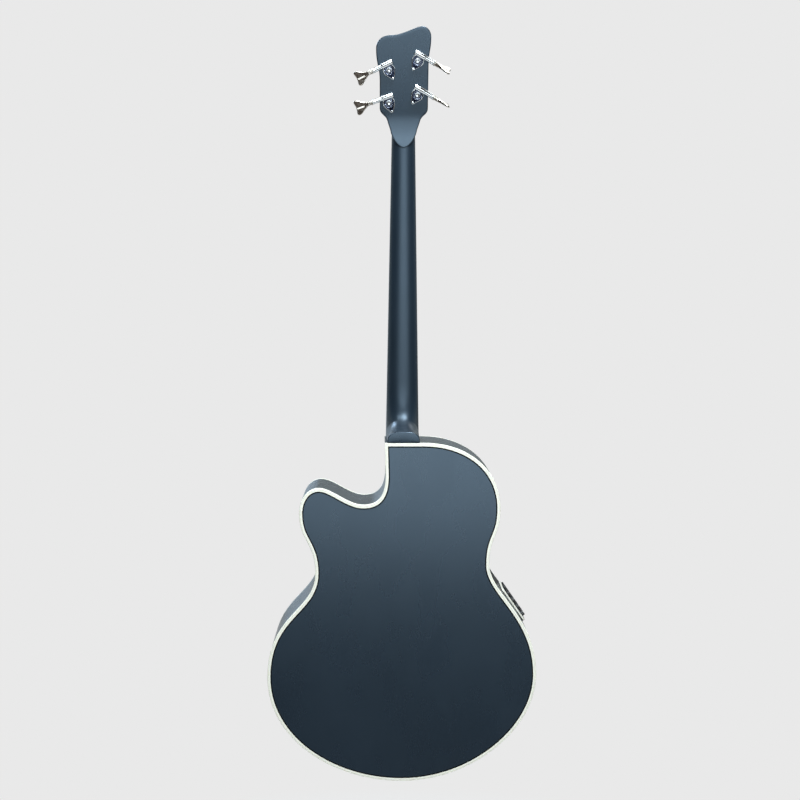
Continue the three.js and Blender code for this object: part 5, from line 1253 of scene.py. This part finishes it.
made("panel_bezel", on_panel(panel_bezel()), PLASTIC)
# The cream band on the bezel's wall is a painted highlight of its edge.
made("panel_painted_highlight", on_panel(panel_painted_highlight()), BINDING)
made("panel_ticks", on_panel(panel_ticks()), WHITE)
for k, x in KNOB_PLACES:
    pointer = soft_slab(rounded_rectangle(0.8, 3.6, 0.35, x, 9.6), 7.0, 7.62, radius=0.12, steps=2)
    made(f"knob_fluted_{k}", on_panel(control_knob().moved(shift=(x, 0, KNOB_ROW))), KNOB, f"control_knob_{k}",
         body=f"knob_{k}")
    made(f"knob_pointer_{k}", on_panel(pointer), WHITE, body=f"knob_{k}")
made("battery_door_leaf", on_panel(battery_door()), PLASTIC, "battery_door", body="door")


# ---------------------------------------------------------------- strap button with the jack

def jack_form():
    """Strap button: flange, waist and cap round the bore, all turned about Z."""
    profile = [(3.4, -12.7), (8.0, -12.7), (9.0, -12.0), (9.0, -10.6), (7.7, -9.8), (6.6, -8.9), (6.6, -4.6),
               (7.6, -3.3), (10.5, -2.6), (11.0, -1.7), (11.0, -0.3), (6.0, -0.3), (6.0, 36.0), (3.4, 36.0)]
    form = hooped(spun(softened(profile, 0.5, 3, closed=True), 56))
    return form.moved([[1, 0, 0], [0, 0, 1], [0, 1, 0]], (0, -66, BODY_TAIL))


made("strap_button_jack", jack_form(), CHROME, "end_pin_jack")


# ---------------------------------------------------------------- finishes of the pieces that stay as built

for finish, names in (
        (SPRUCE, ("lining_top", "lining_back", "neck_block", "tail_block", "cross_brace_bass",
                  "cross_brace_treble", "transverse_brace", "back_strip", "back_brace_1", "back_brace_2",
                  "back_brace_3")),
        (BOARD, ("bridge_plate",)),
        (STEEL, ("truss_rod", "truss_rod_nut")),
        (PLASTIC, ("control_panel",)),
        (CASE, ("battery",))):
    for name in names:
        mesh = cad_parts[name].data
        mesh.materials.clear()
        mesh.materials.append(finish)


# ---------------------------------------------------------------- studio

BACKGROUND = 0.8148
AMBIENT = 0.3
FLOOR_Z = -1.72
FLOOR_HALF = 9
PICTURE = 800
LENS, SENSOR = 50, 36
VANISHING = (380.37, 285.735)
CAMERA_ROLL = 0.002
CAMERA_AT = np.array([-37.1367, -1847.8982, -250.3511])


def staged(name, points, faces, finish):
    """A piece of the room, in metres, that isn't part of the instrument."""
    mesh = bpy.data.meshes.new(name)
    mesh.from_pydata(points, [], faces)
    mesh.materials.append(finish)
    piece = bpy.data.objects.new(name, mesh)
    PIECES.objects.link(piece)
    return piece


def studio_floor():
    """Pale floor far below the hung instrument; past the shadow it takes the backdrop's own colour."""
    look = Finish("studio_floor")
    speck = look.tints(look.cloud(40.0, 4), (0.3, (0.76, 0.76, 0.76)), (0.7, (0.8, 0.8, 0.8)))
    finish = look.filled(Base_Color=speck, Roughness=0.9, Specular_IOR_Level=0.0)
    glow = look.node("Emission", in_Color=(BACKGROUND, BACKGROUND, BACKGROUND, 1), in_Strength=1.0)
    ground = look.node("TexCoord").outputs["Object"]
    distance = look.node("VectorMath", operation="LENGTH", in_0=ground).outputs["Value"]
    blend = look.node("MixShader", in_0=look.spread(distance, 0.0, 1.0, 0.5, 1.3), in_1=look.shader.outputs[0],
                      in_2=glow.outputs[0])
    look.fill(look.tree.nodes["Material Output"].inputs["Surface"], blend.outputs[0])
    corners = [(a * FLOOR_HALF, b * FLOOR_HALF, 0) for a, b in ((-1, -1), (1, -1), (1, 1), (-1, 1))]
    staged("floor", corners, [(0, 1, 2, 3)], finish).location = (0, 0, FLOOR_Z)


def studio_room():
    """Dim round wall with a skirt over the floor in front. The lacquer mirrors it, the camera doesn't see it."""
    angle = np.radians(np.linspace(-200, 160, 73))[:, None]
    heights = np.array([-1.7, -1.05, 0.2, 1.6, 2.7])
    front = 0.5 - 0.5 * np.sin(angle)
    reach = np.array([3.9, 3.9, 3.9, 3.9, 1.9]) - front * np.array([2.5, 0.2, 0, 0, 0])
    points = np.stack([reach * np.cos(angle), reach * np.sin(angle), heights + 0 * angle], -1)
    look = Finish("studio_wall")
    right, behind, up = look.node("SeparateXYZ", in_0=look.place()).outputs
    patchy = look.sums("MULTIPLY_ADD", look.cloud(1.4, 4), 0.12, look.spread(behind, 0, 1, -1.6, 1.2))
    tone = look.tints(patchy, (0.05, (0.085, 0.062, 0.048)), (0.3, (0.1, 0.11, 0.13)), (0.6, (0.4, 0.45, 0.5)),
                      (1.0, (0.55, 0.56, 0.53)))
    panelling = look.sums("MULTIPLY", look.spread(right, 0.0, 1.0, 0.2, 0.9),
                          look.spread(up, 1.0, 0.0, -1.1, -0.4))
    finish = look.filled(Base_Color=look.mixed(tone, (0.13, 0.11, 0.09, 1), panelling), Roughness=0.9)
    wall = staged("room_wall", points.reshape(-1, 3).tolist(), net(*points.shape[:2]).tolist(), finish)
    wall.visible_camera = False
    wall.visible_shadow = False


def studio_world():
    """The backdrop's flat tone for the camera, metal and glass, and a plain level for the rest."""
    world = bpy.data.worlds.new("studio")
    world.use_nodes = True
    look = Graph(world.node_tree)
    path = look.node("LightPath").outputs
    seen = look.sums("MAXIMUM", look.sums("MAXIMUM", path["Is Camera Ray"], path["Is Glossy Ray"]),
                     path["Is Transmission Ray"])
    shade = world.node_tree.nodes["Background"]
    shade.inputs["Color"].default_value = (1, 1, 1, 1)
    look.fill(shade.inputs["Strength"], look.spread(seen, AMBIENT, BACKGROUND))
    bpy.context.scene.world = world


def stood(item, across, up, back, at):
    """The lamp or camera set by its axes and its place, in metres, and added to the scene."""
    matrix = np.eye(4)
    matrix[:3] = np.column_stack([across, up, back, at])
    item.matrix_world = Matrix(matrix.tolist())
    PIECES.objects.link(item)


def lamp(name, at, to, size, power, colour=(1, 1, 1)):
    """A soft panel of the given width and height in metres, facing a point."""
    light = bpy.data.lights.new(name, "AREA")
    light.shape = "RECTANGLE"
    light.size, light.size_y = size
    light.energy = power
    light.color = colour
    holder = bpy.data.objects.new(name, light)
    back = unit(np.subtract(at, to))
    across = unit(np.cross([0, 0, 1.0], back))
    stood(holder, across, np.cross(back, across), back, at)
    holder.visible_camera = False


def camera():
    """A 50 mm lens nearly level with the neck. The direction straight out of the back falls on pixel VANISHING."""
    focal = LENS / SENSOR * PICTURE
    ahead = unit(np.array([(VANISHING[0] - PICTURE / 2) / focal, (PICTURE / 2 - VANISHING[1]) / focal, 1.0]))
    up = np.array([np.sin(CAMERA_ROLL), np.cos(CAMERA_ROLL), 0.0])
    up = unit(up - ahead * np.dot(up, ahead))
    axes = np.column_stack([np.cross(up, ahead), ahead, up])
    data = bpy.data.cameras.new("camera")
    data.lens, data.sensor_width = LENS, SENSOR
    data.clip_end = 40
    eye = bpy.data.objects.new("camera", data)
    stood(eye, axes[0], axes[1], -axes[2], CAMERA_AT * METRES)
    bpy.context.scene.camera = eye


HEART = (0.0, -0.1, -0.46)
DAYLIGHT = (0.88, 0.97, 1.0)

studio_floor()
studio_room()
studio_world()
lamp("window_low", (0.28, -3.0, -0.34), (0.28, 0.0, -0.34), (2.2, 1.0), 24, DAYLIGHT)
lamp("window_high", (0.15, -3.0, 0.6), (0.15, 0.0, 0.6), (1.0, 0.9), 19, DAYLIGHT)
lamp("ceiling_tube", (0.45, -0.86, 1.55), HEART, (0.75, 0.75), 61, (0.9, 0.97, 1.0))
lamp("ceiling_strip", (-0.35, -0.95, 1.5), HEART, (1.9, 0.35), 27, (0.86, 0.96, 1.0))
lamp("window_left", (-1.6, 2.1, 1.5), HEART, (1.1, 0.9), 50, (0.62, 0.8, 1.0))
lamp("sky_behind", (-1.3, 3.3, -0.55), (0.0, 0.0, -0.55), (1.7, 1.5), 3.4, (0.5, 0.72, 1.0))
lamp("front_panel", (0.6, 2.6, 1.9), (0.0, 0.0, -0.5), (2.2, 1.4), 26)
camera()
bpy.context.scene.view_settings.view_transform = "Standard"
